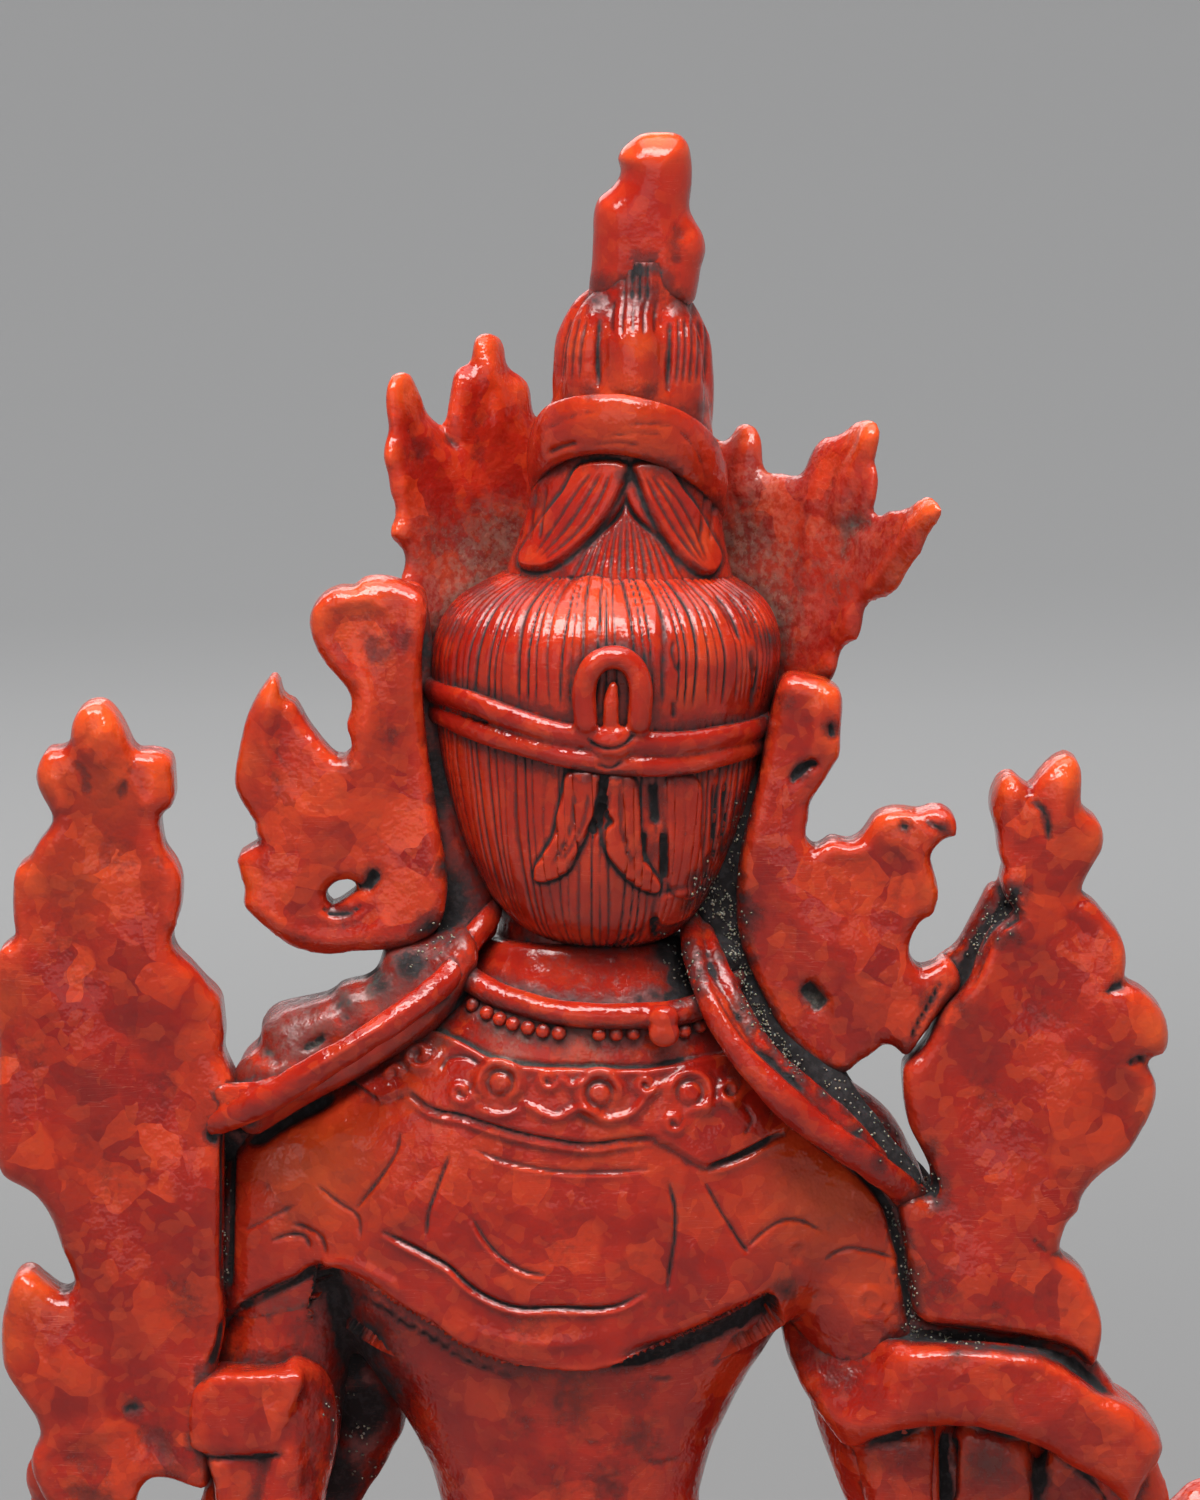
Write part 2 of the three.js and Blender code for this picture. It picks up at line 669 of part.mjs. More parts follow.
// The flame-edged ribbons that stand out flat behind each ear.
function earRibbons() {
  const left = [
    [10.2, 113.4, 0.6],
    [15, 113.2, 0.9],
    [17.2, 110.2, 0.6],
    [16, 107.2],
    [14.6, 104.8, 0.2],
    [15.8, 103.6, -0.2],
    [19.7, 108.2, 0.3],
    [21.5, 101.4, 0.8],
    [20.6, 98.1, -0.2],
    [21.2, 94.8, 0.3],
    [18, 92.2, 0.8],
    [12.4, 91.8, 0.3],
    [8, 93.6],
    [8, 109],
  ];
  const right = [
    [-9.4, 107.6],
    [-14.2, 107.2, 0.6],
    [-14.2, 103.2, 0.3],
    [-12.5, 101.1],
    [-12.6, 98.4, -0.3],
    [-16.2, 98.4, -0.2],
    [-18.2, 100.2, 0.5],
    [-21.3, 99.6, 0.4],
    [-19.8, 97.6],
    [-18.8, 93.2, 0.9],
    [-20, 90.4, -0.2],
    [-18.4, 86.2],
    [-14.2, 84.5, -0.5],
    [-8, 92.6],
    [-7.6, 101],
  ];
  const whole = [
    plate(left, { back: 10.4, thick: 4.4, edge: 0.9 }),
    plate(right, { back: 11, thick: 4.4, edge: 0.9 }),
  ];
  const eyelet = new THREE.CylinderGeometry(0.75, 0.75, 12, 8).translate(15.6, 9, 95.4);
  return join(whole).subtract(solid(welded(eyelet)));
}

// The open lotus at each shoulder: a flat carved back, an overlapping bloom in front and its stem.
function lotuses() {
  const left = [
    [30, 106.9, 0.5],
    [28, 103.6],
    [26.2, 103, 0.7],
    [26.8, 99.8, 0.6],
    [25.4, 92.8, 1.2],
    [22.8, 89.2, 0.4],
    [22.2, 82.6, 0.3],
    [23.2, 66.4, 0.1],
    [27, 62.6, 0.2],
    [32.6, 61.4, 0.6],
    [36.1, 68.6, 0.5],
    [34.2, 72.8, -0.8],
    [31.4, 71.4, -1],
    [33.4, 76.8, -0.4],
    [36.2, 79.4, 1.4],
    [35.4, 91.6, 0.6],
    [35.2, 92.6, 1.6],
    [33, 99.6, 1.4],
    [32, 103.8, 0.4],
  ];
  const right = [
    [-28.1, 103.6, 0.3],
    [-29, 100.8, 1.2],
    [-29.2, 95.4, 0.6],
    [-31.6, 90, 1.4],
    [-33, 85.6, 0.8],
    [-30.4, 79.6, 0.6],
    [-28, 74.7],
    [-27.8, 73.3, 1.3],
    [-29.2, 66.8, 0.4],
    [-18.6, 68.8],
    [-17.8, 77.4],
    [-18.4, 84.6, -0.3],
    [-20, 90.6],
    [-22.2, 90, 0.5],
    [-25.2, 95.5, 0.6],
    [-23.6, 101.2, 0.4],
    [-25, 102.4],
    [-26.5, 100.8, 0.3],
  ];
  const backs = [
    plate(left, { thick: 5, edge: 1 }),
    plate(right, { back: PLATE_BACK_Y - 0.4, thick: 5, edge: 1 }),
  ];
  const bloom = ([x, y, z], side) =>
    [-1, 0, 1].flatMap((place) => [
      limb(
        [[x, y, z - 5], [x + place * 3.4, y - 2.6, z], [x + place * 6, y - 3, z + 6 - Math.abs(place) * 2]],
        [[2.2, 1.6], [3.2, 1.8], [1.2, 0.8]],
        { sides: 5, flat: [side * 0.1, 1, 0] },
      ),
    ]);
  const stems = [
    limb(
      [[8.6, -13, 69], [14, -11.5, 62.5], [24, -5, 63], [28.5, 3, 72], [29, 5.6, 84]],
      [1.3, 1.3, 1.6],
      { sides: FINE_SIDES },
    ),
    limb(
      [[-29.5, -15, 47.5], [-26.5, -9, 57], [-26, -1, 64], [-26, 4, 72], [-26, 5.6, 84]],
      [1.3, 1.3, 1.6],
      { sides: FINE_SIDES },
    ),
  ];
  return join(backs, bloom([29, 7, 86], 1), bloom([-26, 7, 84], -1), stems);
}

// The scarf: a rolled edge over each shoulder, a broad fold round each elbow, and an end to the seat.
function scarf() {
  const overLeft = limb(
    [[6.4, 8, 94.4], [7.8, 10.6, 91], [13, 13, 86.8], [18, 13, 84], [22, 11.4, 82.2]],
    [SCARF_RADIUS, SCARF_RADIUS],
    { sides: 6 },
  );
  const overRight = limb(
    [[-5.2, 8, 94], [-6.6, 10.8, 89.8], [-10, 13.2, 84.2], [-15, 13.2, 80], [-20.4, 11.2, 76.8]],
    [SCARF_RADIUS, SCARF_RADIUS],
    { sides: 6 },
  );
  const elbowLeft = plate(
    [
      [15.4, 66.2, 0.4],
      [15.8, 62.2],
      [25, 61.6, 0.3],
      [33.6, 58.4, 0.8],
      [34, 61.6, 0.5],
      [28, 64.4],
      [25.4, 66.8, 0.2],
    ],
    { back: 13.2, thick: 8, edge: 1.4 },
  );
  const elbowRight = plate(
    [
      [-17.6, 68.4, 0.2],
      [-24.6, 68.1, 0.3],
      [-28.8, 66, 0.2],
      [-33.3, 63.4, 0.7],
      [-33.4, 59.6, 0.3],
      [-27.6, 61.2, -0.6],
      [-21.6, 63.2, -0.4],
      [-12.6, 61.8],
      [-11.8, 67],
    ],
    { back: 13, thick: 8, edge: 1.4 },
  );
  const end = (side, lift) =>
    limb(
      [
        [side * 30, 8, 62],
        [side * 32.5, 8, 57],
        [side * 29.5, 8, 51.5],
        [side * 33, 6, 46],
        [side * 38, 4, 42 + lift],
        [side * 38.6, 2, 35],
        [side * 36, 2, 30],
      ],
      [[2.6, 2], [2.2, 1.6], [2.6, 1.6], [2.8, 1.6], [2.4, 1.6], [3, 1.6]],
      { sides: 6 },
    );
  return join(overLeft, overRight, elbowLeft, elbowRight, end(1, 0), end(-1, 1));
}

// Hair that lies in coils on each shoulder, and the rolled collar with its row of beads.
function collar() {
  const around = (radius, height, dip) => (turn) => {
    const angle = 2 * Math.PI * turn;
    return [
      1 + radius * Math.cos(angle),
      BODY_Y - 0.6 + radius * 0.94 * Math.sin(angle),
      height + dip * Math.cos(2 * angle),
    ];
  };
  const roll = ring(around(7.3, 88.8, 1.3), 0.95, { count: 18 });
  const beadCount = 28;
  const beads = ring(around(7.8, 87.1, 1.4), 0.8, { count: beadCount * 2, sides: 3, beaded: true });
  const coils = [
    [[12.4, 4, 90], [16.2, 3.6, 88.4], [20, 3.8, 86.2], [21.4, 4.4, 83.4]],
    [[-8.6, 5, 92], [-12.6, 5.4, 87.4], [-16.4, 5.6, 82.6], [-19.6, 5.6, 78.6]],
  ].map((path) => limb(path, [2.4, 2.6, 2.2], { sides: 6 }));
  return join(roll, beads, coils);
}

const figure = join(
  seat(),
  legs(),
  torso(),
  arms(),
  face(),
  hair(),
  topknot(),
  crown(),
  earRibbons(),
  lotuses(),
  scarf(),
  collar(),
)
  .asOriginal()
  .simplify(FINEST_DETAIL);

// The joined solid as an indexed three.js geometry.
function geometryOf(joined) {
  const { vertProperties, triVerts, numProp, numVert } = joined.getMesh();
  const positions = new Float32Array(numVert * 3);
  for (let i = 0; i < numVert; i++) {
    positions.set(vertProperties.subarray(i * numProp, i * numProp + 3), i * 3);
  }
  return new THREE.BufferGeometry()
    .setAttribute("position", new THREE.BufferAttribute(positions, 3))
    .setIndex(new THREE.BufferAttribute(new Uint32Array(triVerts), 1));
}

const coralResin = new THREE.MeshStandardMaterial({ color: 0xb8321f, roughness: 0.25, metalness: 0 });
const cast = new THREE.Mesh(geometryOf(figure), coralResin);
cast.name = "white_tara_figure";

const whiteTara = new THREE.Group();
whiteTara.add(cast);

export default whiteTara;
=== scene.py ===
import math

import bpy
import numpy as np
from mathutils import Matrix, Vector
from mathutils.bvhtree import BVHTree

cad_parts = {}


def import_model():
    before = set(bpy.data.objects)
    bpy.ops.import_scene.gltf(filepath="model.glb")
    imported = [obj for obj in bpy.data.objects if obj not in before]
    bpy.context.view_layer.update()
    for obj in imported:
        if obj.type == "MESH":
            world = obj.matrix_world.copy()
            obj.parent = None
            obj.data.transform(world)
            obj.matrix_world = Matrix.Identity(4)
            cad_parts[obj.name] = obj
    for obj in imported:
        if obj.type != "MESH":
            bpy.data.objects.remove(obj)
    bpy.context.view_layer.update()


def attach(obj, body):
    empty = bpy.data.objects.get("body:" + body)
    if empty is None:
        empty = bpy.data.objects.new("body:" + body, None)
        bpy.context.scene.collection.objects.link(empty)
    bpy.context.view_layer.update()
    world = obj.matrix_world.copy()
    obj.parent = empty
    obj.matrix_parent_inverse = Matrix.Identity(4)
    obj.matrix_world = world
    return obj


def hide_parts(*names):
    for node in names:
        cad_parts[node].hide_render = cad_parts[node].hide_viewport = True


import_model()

MM = 0.001
CAST = "white_tara_figure"

# CAMERA
# It stands behind her, a little above, with a long lens.
PHOTO_WIDTH, PHOTO_HEIGHT = 1200, 1500
VIEW_TARGET = np.array([0, 10, 104.1])
VIEW_DISTANCE = 450
VIEW_ELEVATION = math.radians(7)
VIEW_FIELD = 90  # how tall the photograph is at the target
SENSOR = 36

view_back = np.array([0, math.cos(VIEW_ELEVATION), math.sin(VIEW_ELEVATION)])
view_right = np.array([-1.0, 0, 0])
view_up = np.array([0, -math.sin(VIEW_ELEVATION), math.cos(VIEW_ELEVATION)])
view_place = VIEW_TARGET + view_back * VIEW_DISTANCE
PIXELS_AT_ONE = PHOTO_HEIGHT / (VIEW_FIELD / VIEW_DISTANCE)

camera = bpy.data.objects.new("photo camera", bpy.data.cameras.new("photo camera"))
bpy.context.scene.collection.objects.link(camera)
camera.location = Vector(view_place) * MM
camera.rotation_euler = Vector(-view_back).to_track_quat("-Z", "Y").to_euler()
camera.data.sensor_width = SENSOR
camera.data.lens = SENSOR / 2 / (VIEW_FIELD / 2 / VIEW_DISTANCE)
camera.data.clip_start, camera.data.clip_end = 0.01, 20
bpy.context.scene.camera = camera
bpy.context.scene.view_settings.view_transform = "Standard"


def seen(pixels, depth):
    """Where points of the photograph lie on the surface y = depth(x, z), in millimetres."""
    pixels = np.asarray(pixels, float)
    ray = (
        -view_back
        + view_right * (pixels[:, :1] - PHOTO_WIDTH / 2) / PIXELS_AT_ONE
        + view_up * (PHOTO_HEIGHT / 2 - pixels[:, 1:2]) / PIXELS_AT_ONE
    )
    y = np.full(len(pixels), float(VIEW_TARGET[1]))
    for _ in range(8):
        points = view_place + ray * ((y - view_place[1]) / ray[:, 1])[:, None]
        y = depth(points[:, 0], points[:, 2]) if callable(depth) else np.full(len(pixels), float(depth))
    return view_place + ray * ((y - view_place[1]) / ray[:, 1])[:, None]


def pixels_of(points):
    """The photograph's pixels that points in millimetres fall on."""
    ray = points - view_place
    far = -(ray @ view_back)
    return np.stack([
        PHOTO_WIDTH / 2 + PIXELS_AT_ONE * (ray @ view_right) / far,
        PHOTO_HEIGHT / 2 - PIXELS_AT_ONE * (ray @ view_up) / far,
    ], axis=1)


def clear():
    """Nothing selected and nothing being edited."""
    if bpy.context.mode != "OBJECT":
        bpy.ops.object.mode_set(mode="OBJECT")
    bpy.ops.object.select_all(action="DESELECT")


def pick_up(*parts):
    """Only these parts selected, the first of them active."""
    clear()
    for part in parts:
        part.select_set(True)
    bpy.context.view_layer.objects.active = parts[0]


def turned(way, axis="-Z"):
    """The turn that points an axis along a direction."""
    return Vector(way).to_track_quat(axis, "Y").to_euler()


# STAGE
PAPER = (0.452, 0.452, 0.454, 1)


def sweep():
    """A pale round floor that curves up all round her into a wall, in metres."""
    clear()
    reach, steps, rise = 0.8, 16, 0.12
    bpy.ops.mesh.primitive_circle_add(vertices=96, radius=reach, fill_type="TRIFAN", location=(0, 0, 0))
    floor = bpy.context.object
    floor.name = "studio_sweep"
    bpy.ops.object.mode_set(mode="EDIT")
    bpy.ops.mesh.select_mode(type="EDGE")
    bpy.ops.mesh.select_all(action="SELECT")
    bpy.ops.mesh.region_to_loop()
    for k in range(steps):
        turn = math.pi / 2 * ((k + 0.5) / steps) ** 1.7
        out, up = rise * math.cos(turn), rise * math.sin(turn)
        bpy.ops.mesh.extrude_region_move(TRANSFORM_OT_translate={"value": (0, 0, up)})
        bpy.ops.transform.resize(value=(1 + out / reach, 1 + out / reach, 1), center_override=(0, 0, 0))
        reach += out
    bpy.ops.object.mode_set(mode="OBJECT")
    bpy.ops.object.shade_smooth()
    paper = bpy.data.materials.new("studio paper")
    paper.use_nodes = True
    nodes, links = paper.node_tree.nodes, paper.node_tree.links
    shader = nodes["Principled BSDF"]
    shader.inputs["Roughness"].default_value = 0.9
    shader.inputs["Specular IOR Level"].default_value = 0.2
    place = nodes.new("ShaderNodeTexCoord")
    # the floor near her gets most of the light, so its tone is lower there
    away, fall, shade = (nodes.new("ShaderNode" + kind) for kind in ("VectorMath", "MapRange", "Mix"))
    away.operation = "LENGTH"
    links.new(place.outputs["Object"], away.inputs[0])
    links.new(away.outputs["Value"], fall.inputs["Value"])
    for name, value in (("From Min", 0.25), ("From Max", 0.9), ("To Min", 0.57), ("To Max", 1.0)):
        fall.inputs[name].default_value = value
    shade.data_type, shade.blend_type = "RGBA", "MULTIPLY"
    shade.inputs[0].default_value = 1.0
    shade.inputs[6].default_value = PAPER
    links.new(fall.outputs["Result"], shade.inputs[7])
    links.new(shade.outputs[2], shader.inputs["Base Color"])
    floor.data.materials.append(paper)


def softbox(name, place, aim, size, watts, colour=(1, 1, 1)):
    """A soft light in the studio. Its place, its aim and its size are in metres."""
    light = bpy.data.lights.new(name, "AREA")
    light.shape = "RECTANGLE"
    light.size, light.size_y = size
    light.energy = watts
    light.color = colour
    lamp = bpy.data.objects.new(name, light)
    bpy.context.scene.collection.objects.link(lamp)
    lamp.location = Vector(place)
    lamp.rotation_euler = turned(Vector(aim) - Vector(place))


sweep()
world = bpy.data.worlds.new("studio")
bpy.context.scene.world = world
world.use_nodes = True
world.node_tree.nodes["Background"].inputs["Color"].default_value = (0.60, 0.62, 0.66, 1)
world.node_tree.nodes["Background"].inputs["Strength"].default_value = 0.12
softbox("overhead softbox", (0.03, 0.16, 0.42), (0, 0.0, 0.09), (0.40, 0.14), 2.0, (1, 0.97, 0.95))
softbox("front fill", (0.12, 0.7, 0.34), (0, 0, 0.09), (0.7, 0.4), 0.55)
softbox("far fill", (0.2, -0.7, 0.5), (0, 0, 0.08), (0.6, 0.4), 1.5)
softbox("ceiling wash", (0, 0, 2.4), (0, 0.001, 0), (3, 3), 62)


# RESIN
# its depths, its crushed chips, the painted orange light of its thin edges, then the dirty layers and painted shade
# in its hollows and what lies on it
DEPTH_DARK, DEPTH_RED = (0.32, 0.0110, 0.0053, 1), (0.465, 0.0205, 0.0072, 1)
CHIP_DEEP, CHIP_PALE, CHIP_SHADE = (0.27, 0.0085, 0.006, 1), (0.74, 0.068, 0.014, 1), (0.22, 0.007, 0.004, 1)
FLAKE_DEEP, FLAKE_PALE = (0.28, 0.009, 0.006, 1), (0.72, 0.090, 0.020, 1)
CREST_GLOW_ORANGE, PAINTED_GLOW_ORANGE = (0.72, 0.060, 0.016, 1), (0.84, 0.12, 0.020, 1)
FILM_AND_SHADE_BROWN, DIRT_AND_SHADE_BLACK, DIRT_AND_SHEEN_GREY = (0.085, 0.010, 0.009, 1), (0.007, 0.005, 0.006, 1), (0.024, 0.020, 0.022, 1)
SCRATCH_PINK, GRIT_DARK, GRIT_PALE = (0.80, 0.26, 0.17, 1), (0.12, 0.10, 0.08, 1), (0.42, 0.365, 0.285, 1)


def coral_resin():
    """Translucent coral-red resin full of crushed chips, dirty and painted with shade in its hollows, and painted a
    glowing orange where it is thin.
    """
    made = bpy.data.materials.new("coral resin")
    made.use_nodes = True
    nodes, links = made.node_tree.nodes, made.node_tree.links
    shader = nodes["Principled BSDF"]

    def feed(socket, value):
        if isinstance(value, bpy.types.NodeSocket):
            links.new(value, socket)
        else:
            socket.default_value = value

    def texture(kind, at, out, **values):
        new = nodes.new("ShaderNodeTex" + kind)
        for key, value in values.items():
            if hasattr(new, key):
                setattr(new, key, value)
            else:
                new.inputs[key].default_value = value
        links.new(at, new.inputs["Vector"])
        return new.outputs[out]

    def painted(name):
        new = nodes.new("ShaderNodeAttribute")
        new.attribute_name = name
        return new.outputs["Fac"]

    def mix(factor, first, second):
        new = nodes.new("ShaderNodeMix")
        new.data_type = "RGBA"
        for index, value in ((0, factor), (6, first), (7, second)):
            feed(new.inputs[index], value)
        return new.outputs[2]

    def maths(operation, *values):
        new = nodes.new("ShaderNodeMath")
        new.operation = operation
        for socket, value in zip(new.inputs, values):
            feed(socket, value)
        return new.outputs[0]

    def ramp(source, start, end, low=0.0, high=1.0):
        new = nodes.new("ShaderNodeMapRange")
        new.interpolation_type = "SMOOTHSTEP"
        for name, value in zip(("Value", "From Min", "From Max", "To Min", "To Max"),
                               (source, start, end, low, high)):
            feed(new.inputs[name], value)
        return new.outputs["Result"]

    def vector(operation, out, first, second):
        new = nodes.new("ShaderNodeVectorMath")
        new.operation = operation
        feed(new.inputs[0], first)
        feed(new.inputs[1], second)
        return new.outputs[out]

    def split(source):
        new = nodes.new("ShaderNodeSeparateColor")
        links.new(source, new.inputs["Color"])
        return new.outputs["Red"], new.outputs["Green"]

    # the place on the casting in millimetres
    size = nodes.new("ShaderNodeVectorMath")
    size.operation = "SCALE"
    size.inputs["Scale"].default_value = 1 / MM
    links.new(nodes.new("ShaderNodeTexCoord").outputs["Object"], size.inputs[0])
    at = size.outputs[0]

    # cloudy depths
    cloud = texture("Noise", at, "Fac", Scale=0.2, Detail=2)
    colour = mix(ramp(cloud, 0.36, 0.64), DEPTH_DARK, DEPTH_RED)

    # crushed chips, big ones and small ones, seen through the surface
    warp = nodes.new("ShaderNodeVectorMath")
    warp.operation = "MULTIPLY_ADD"
    links.new(texture("Noise", at, "Color", Scale=0.7, Detail=1), warp.inputs[0])
    warp.inputs[1].default_value = (1.1, 1.1, 1.1)
    links.new(at, warp.inputs[2])
    bent = warp.outputs[0]
    chip = painted("chips")
    cells = texture("Voronoi", bent, "Color", Scale=0.4)
    middle, far = (cells.node.outputs[name] for name in ("Position", "Distance"))
    pale, deep = split(cells)
    strong = maths("MULTIPLY", ramp(far, 0.64, 0.86, 1, 0), maths("MULTIPLY_ADD", chip, 0.66, 0.10))
    colour = mix(maths("MULTIPLY", ramp(deep, 0.4, 1.0), strong), colour, CHIP_DEEP)
    colour = mix(maths("MULTIPLY", ramp(pale, 0.5, 1.0), strong), colour, CHIP_PALE)
    small_pale, small_deep = split(texture("Voronoi", bent, "Color", Scale=1.25))
    weak = maths("MULTIPLY_ADD", chip, 0.26, 0.11)
    colour = mix(maths("MULTIPLY", ramp(small_deep, 0.5, 1.0), weak), colour, FLAKE_DEEP)
    colour = mix(maths("MULTIPLY", ramp(small_pale, 0.55, 1.0), weak), colour, FLAKE_PALE)
    colour = mix(maths("MULTIPLY", chip, 0.22), colour, CHIP_SHADE)

    # painted light: crests, thin tips and chosen lit spots are painted a lighter orange, as if lit through
    colour = mix(ramp(painted("crest"), 0.1, 1.0, 0, 0.4), colour, CREST_GLOW_ORANGE)
    colour = mix(maths("MULTIPLY", painted("painted_glow"), 0.85), colour, PAINTED_GLOW_ORANGE)

    # dirty layers and painted shade in the hollows, grooves and joins: a brown-red layer first, then caked black with
    # greyer flecks that are partly a painted grey reflection
    speck = texture("Noise", at, "Fac", Scale=1.7, Detail=3, Roughness=0.7)
    grime_and_shade = maths("MULTIPLY_ADD", speck, 0.8, maths("ADD", painted("hollow"), -0.4))
    film_and_shade = ramp(grime_and_shade, 0.08, 0.55, 0, 0.72)
    packed_and_shade = ramp(grime_and_shade, 0.50, 1.0)
    colour = mix(film_and_shade, colour, FILM_AND_SHADE_BROWN)
    black = mix(ramp(speck, 0.45, 0.62), DIRT_AND_SHADE_BLACK, DIRT_AND_SHEEN_GREY)
    colour = mix(packed_and_shade, colour, black)

    # hairline scratches
    drawn = nodes.new("ShaderNodeMapping")
    drawn.inputs["Rotation"].default_value = (0, 0.62, 0)
    drawn.inputs["Scale"].default_value = (0.3, 1.0, 5.0)
    links.new(at, drawn.inputs["Vector"])
    line = maths("ABSOLUTE", maths("SUBTRACT", texture("Noise", drawn.outputs[0], "Fac", Scale=0.9, Detail=1), 0.5))
    scratch = maths("MULTIPLY", ramp(line, 0.0, 0.012, 1, 0), ramp(cloud, 0.5, 0.62))
    scratch = maths("MULTIPLY", scratch, maths("SUBTRACT", 1.0, film_and_shade))
    colour = mix(maths("MULTIPLY", scratch, 0.2), colour, SCRATCH_PINK)
    colour = mix(painted("grit"), colour, mix(ramp(speck, 0.4, 0.6), GRIT_DARK, GRIT_PALE))
    links.new(colour, shader.inputs["Base Color"])

    rough = maths("MULTIPLY_ADD", packed_and_shade, 0.6, maths("MULTIPLY_ADD", film_and_shade, 0.22, 0.07))
    links.new(maths("MULTIPLY_ADD", speck, 0.14, rough), shader.inputs["Roughness"])

    # the fine unevenness of a rubbed casting
    bump = nodes.new("ShaderNodeBump")
    bump.inputs["Strength"].default_value = 0.26
    bump.inputs["Distance"].default_value = 0.5 * MM
    # each big chip lies tilted its own way, so the light breaks from one to the next
    from_middle = vector("SUBTRACT", "Vector", bent, middle)
    tilt = vector("DOT_PRODUCT", "Value", from_middle, vector("SUBTRACT", "Vector", cells, (0.5, 0.5, 0.5)))
    facets = maths("MULTIPLY", tilt, maths("MULTIPLY", chip, 1.4))
    grain = texture("Noise", at, "Fac", Scale=1.3, Detail=2, Roughness=0.6)
    grain = maths("MULTIPLY", grain, ramp(chip, 0.0, 0.5, 0.3, 1.0))
    links.new(maths("ADD", grain, facets), bump.inputs["Height"])
    links.new(bump.outputs["Normal"], shader.inputs["Normal"])

    shader.inputs["Subsurface Weight"].default_value = 0.25
    shader.inputs["Subsurface Radius"].default_value = (1.0, 0.14, 0.05)
    shader.inputs["Subsurface Scale"].default_value = 1.2 * MM
    shader.inputs["IOR"].default_value = 1.49
    return made


RESIN = coral_resin()


# WAYS OF SHAPING
def points_of(piece):
    """A piece's vertices in millimetres."""
    flat = np.empty(len(piece.data.vertices) * 3, np.float32)
    piece.data.vertices.foreach_get("co", flat)
    return flat.reshape(-1, 3).astype(float) / MM


def move_to(piece, points):
    """Lays a piece's vertices on points in millimetres."""
    piece.data.vertices.foreach_set("co", (points * MM).astype(np.float32).ravel())
    piece.data.update()


def normals_of(piece):
    """The directions that a piece's vertices face."""
    flat = np.empty(len(piece.data.vertices) * 3, np.float32)
    piece.data.vertices.foreach_get("normal", flat)
    return flat.reshape(-1, 3).astype(float)


def curve(points, count, closed=False):
    """Points stepped along a smooth curve through the given ones."""
    points = np.asarray(points, float)
    if closed:
        padded = np.concatenate([points[-1:], points, points[:2]])
    else:
        padded = np.concatenate([2 * points[:1] - points[1:2], points, 2 * points[-1:] - points[-2:-1]])
    spans = len(padded) - 3
    place = np.linspace(0, spans, count, endpoint=not closed)
    k = np.minimum(place.astype(int), spans - 1)
    t = (place - k)[:, None]
    a, b, c, d = (padded[k + j] for j in range(4))
    gap = [np.sqrt(np.linalg.norm(q - p, axis=1))[:, None] for p, q in ((a, b), (b, c), (c, d))]
    gap[1] = np.where(gap[1] < 1e-4, 1.0, gap[1])
    gap[0] = np.where(gap[0] < 1e-4, gap[1], gap[0])
    gap[2] = np.where(gap[2] < 1e-4, gap[1], gap[2])
    out = ((b - a) / gap[0] - (c - a) / (gap[0] + gap[1]) + (c - b) / gap[1]) * gap[1]
    into = ((c - b) / gap[1] - (d - b) / (gap[1] + gap[2]) + (d - c) / gap[2]) * gap[1]
    return b + out * t + (3 * (c - b) - 2 * out - into) * t**2 + (2 * (b - c) + out + into) * t**3


def unit(vectors):
    """Vectors brought to length one."""
    return vectors / np.maximum(np.linalg.norm(vectors, axis=-1, keepdims=True), 1e-9)


def turns(count):
    """Equal steps of angle round a circle."""
    return np.linspace(0, 2 * math.pi, count, endpoint=False)


def sewn(sheet):
    """A grid laid on rows of points and sewn up into a closed skin where its edges meet."""
    clear()
    bpy.ops.mesh.primitive_grid_add(x_subdivisions=sheet.shape[1] - 1, y_subdivisions=sheet.shape[0] - 1, size=1)
    skin = bpy.context.object
    move_to(skin, sheet.reshape(-1, 3))
    bpy.ops.object.mode_set(mode="EDIT")
    bpy.ops.mesh.select_all(action="SELECT")
    bpy.ops.mesh.remove_doubles(threshold=1e-6)
    bpy.ops.mesh.normals_make_consistent(inside=False)
    bpy.ops.object.mode_set(mode="OBJECT")
    return skin


def rolled(rows):
    """A closed skin round rows of points, its two ends drawn to a point."""
    rows = np.asarray(rows, float)
    ends = [np.broadcast_to(rows[k].mean(0), (1, rows.shape[1], 3)) for k in (0, -1)]
    sheet = np.concatenate([ends[0], rows, ends[1]])
    return sewn(np.concatenate([sheet, sheet[:, :1]], axis=1))


# how a limb's end rounds off: how far out, in least radii, and what share of its girth is left there
ROUNDING = (0.55, 0.82), (0.92, 0.4)


def limb(points, radii, sides=12, steps=6, flat=(0, 1, 0), blunt=False):
    """A tapering limb along a smooth path. A radius is a number, or (across, through the flat way)."""
    count = (len(points) - 1) * steps + 1
    path = curve(points, count)
    pairs = np.array([r if isinstance(r, (list, tuple)) else (r, r) for r in radii], float)
    t = np.linspace(0, 1, count)
    girth = np.stack([np.interp(t, np.linspace(0, 1, len(pairs)), pairs[:, k]) for k in (0, 1)], axis=1)
    tangent = unit(np.gradient(path, axis=0))
    if not blunt:
        near = girth.min(axis=1)[:, None]
        head = [(path[0] - tangent[0] * near[0] * r, tangent[0], girth[0] * s) for r, s in ROUNDING[::-1]]
        tail = [(path[-1] + tangent[-1] * near[-1] * r, tangent[-1], girth[-1] * s) for r, s in ROUNDING]
        path, tangent, girth = (
            np.concatenate([[h[k] for h in head], middle, [h[k] for h in tail]])
            for k, middle in enumerate((path, tangent, girth))
        )
    through = np.asarray(flat, float)
    normal = unit(through - (tangent @ through)[:, None] * tangent)
    side = np.cross(tangent, normal)
    angle = turns(sides)[None, :, None]
    rows = (
        path[:, None]
        + side[:, None] * girth[:, None, :1] * np.cos(angle)
        + normal[:, None] * girth[:, None, 1:] * np.sin(angle)
    )
    return rolled(rows)


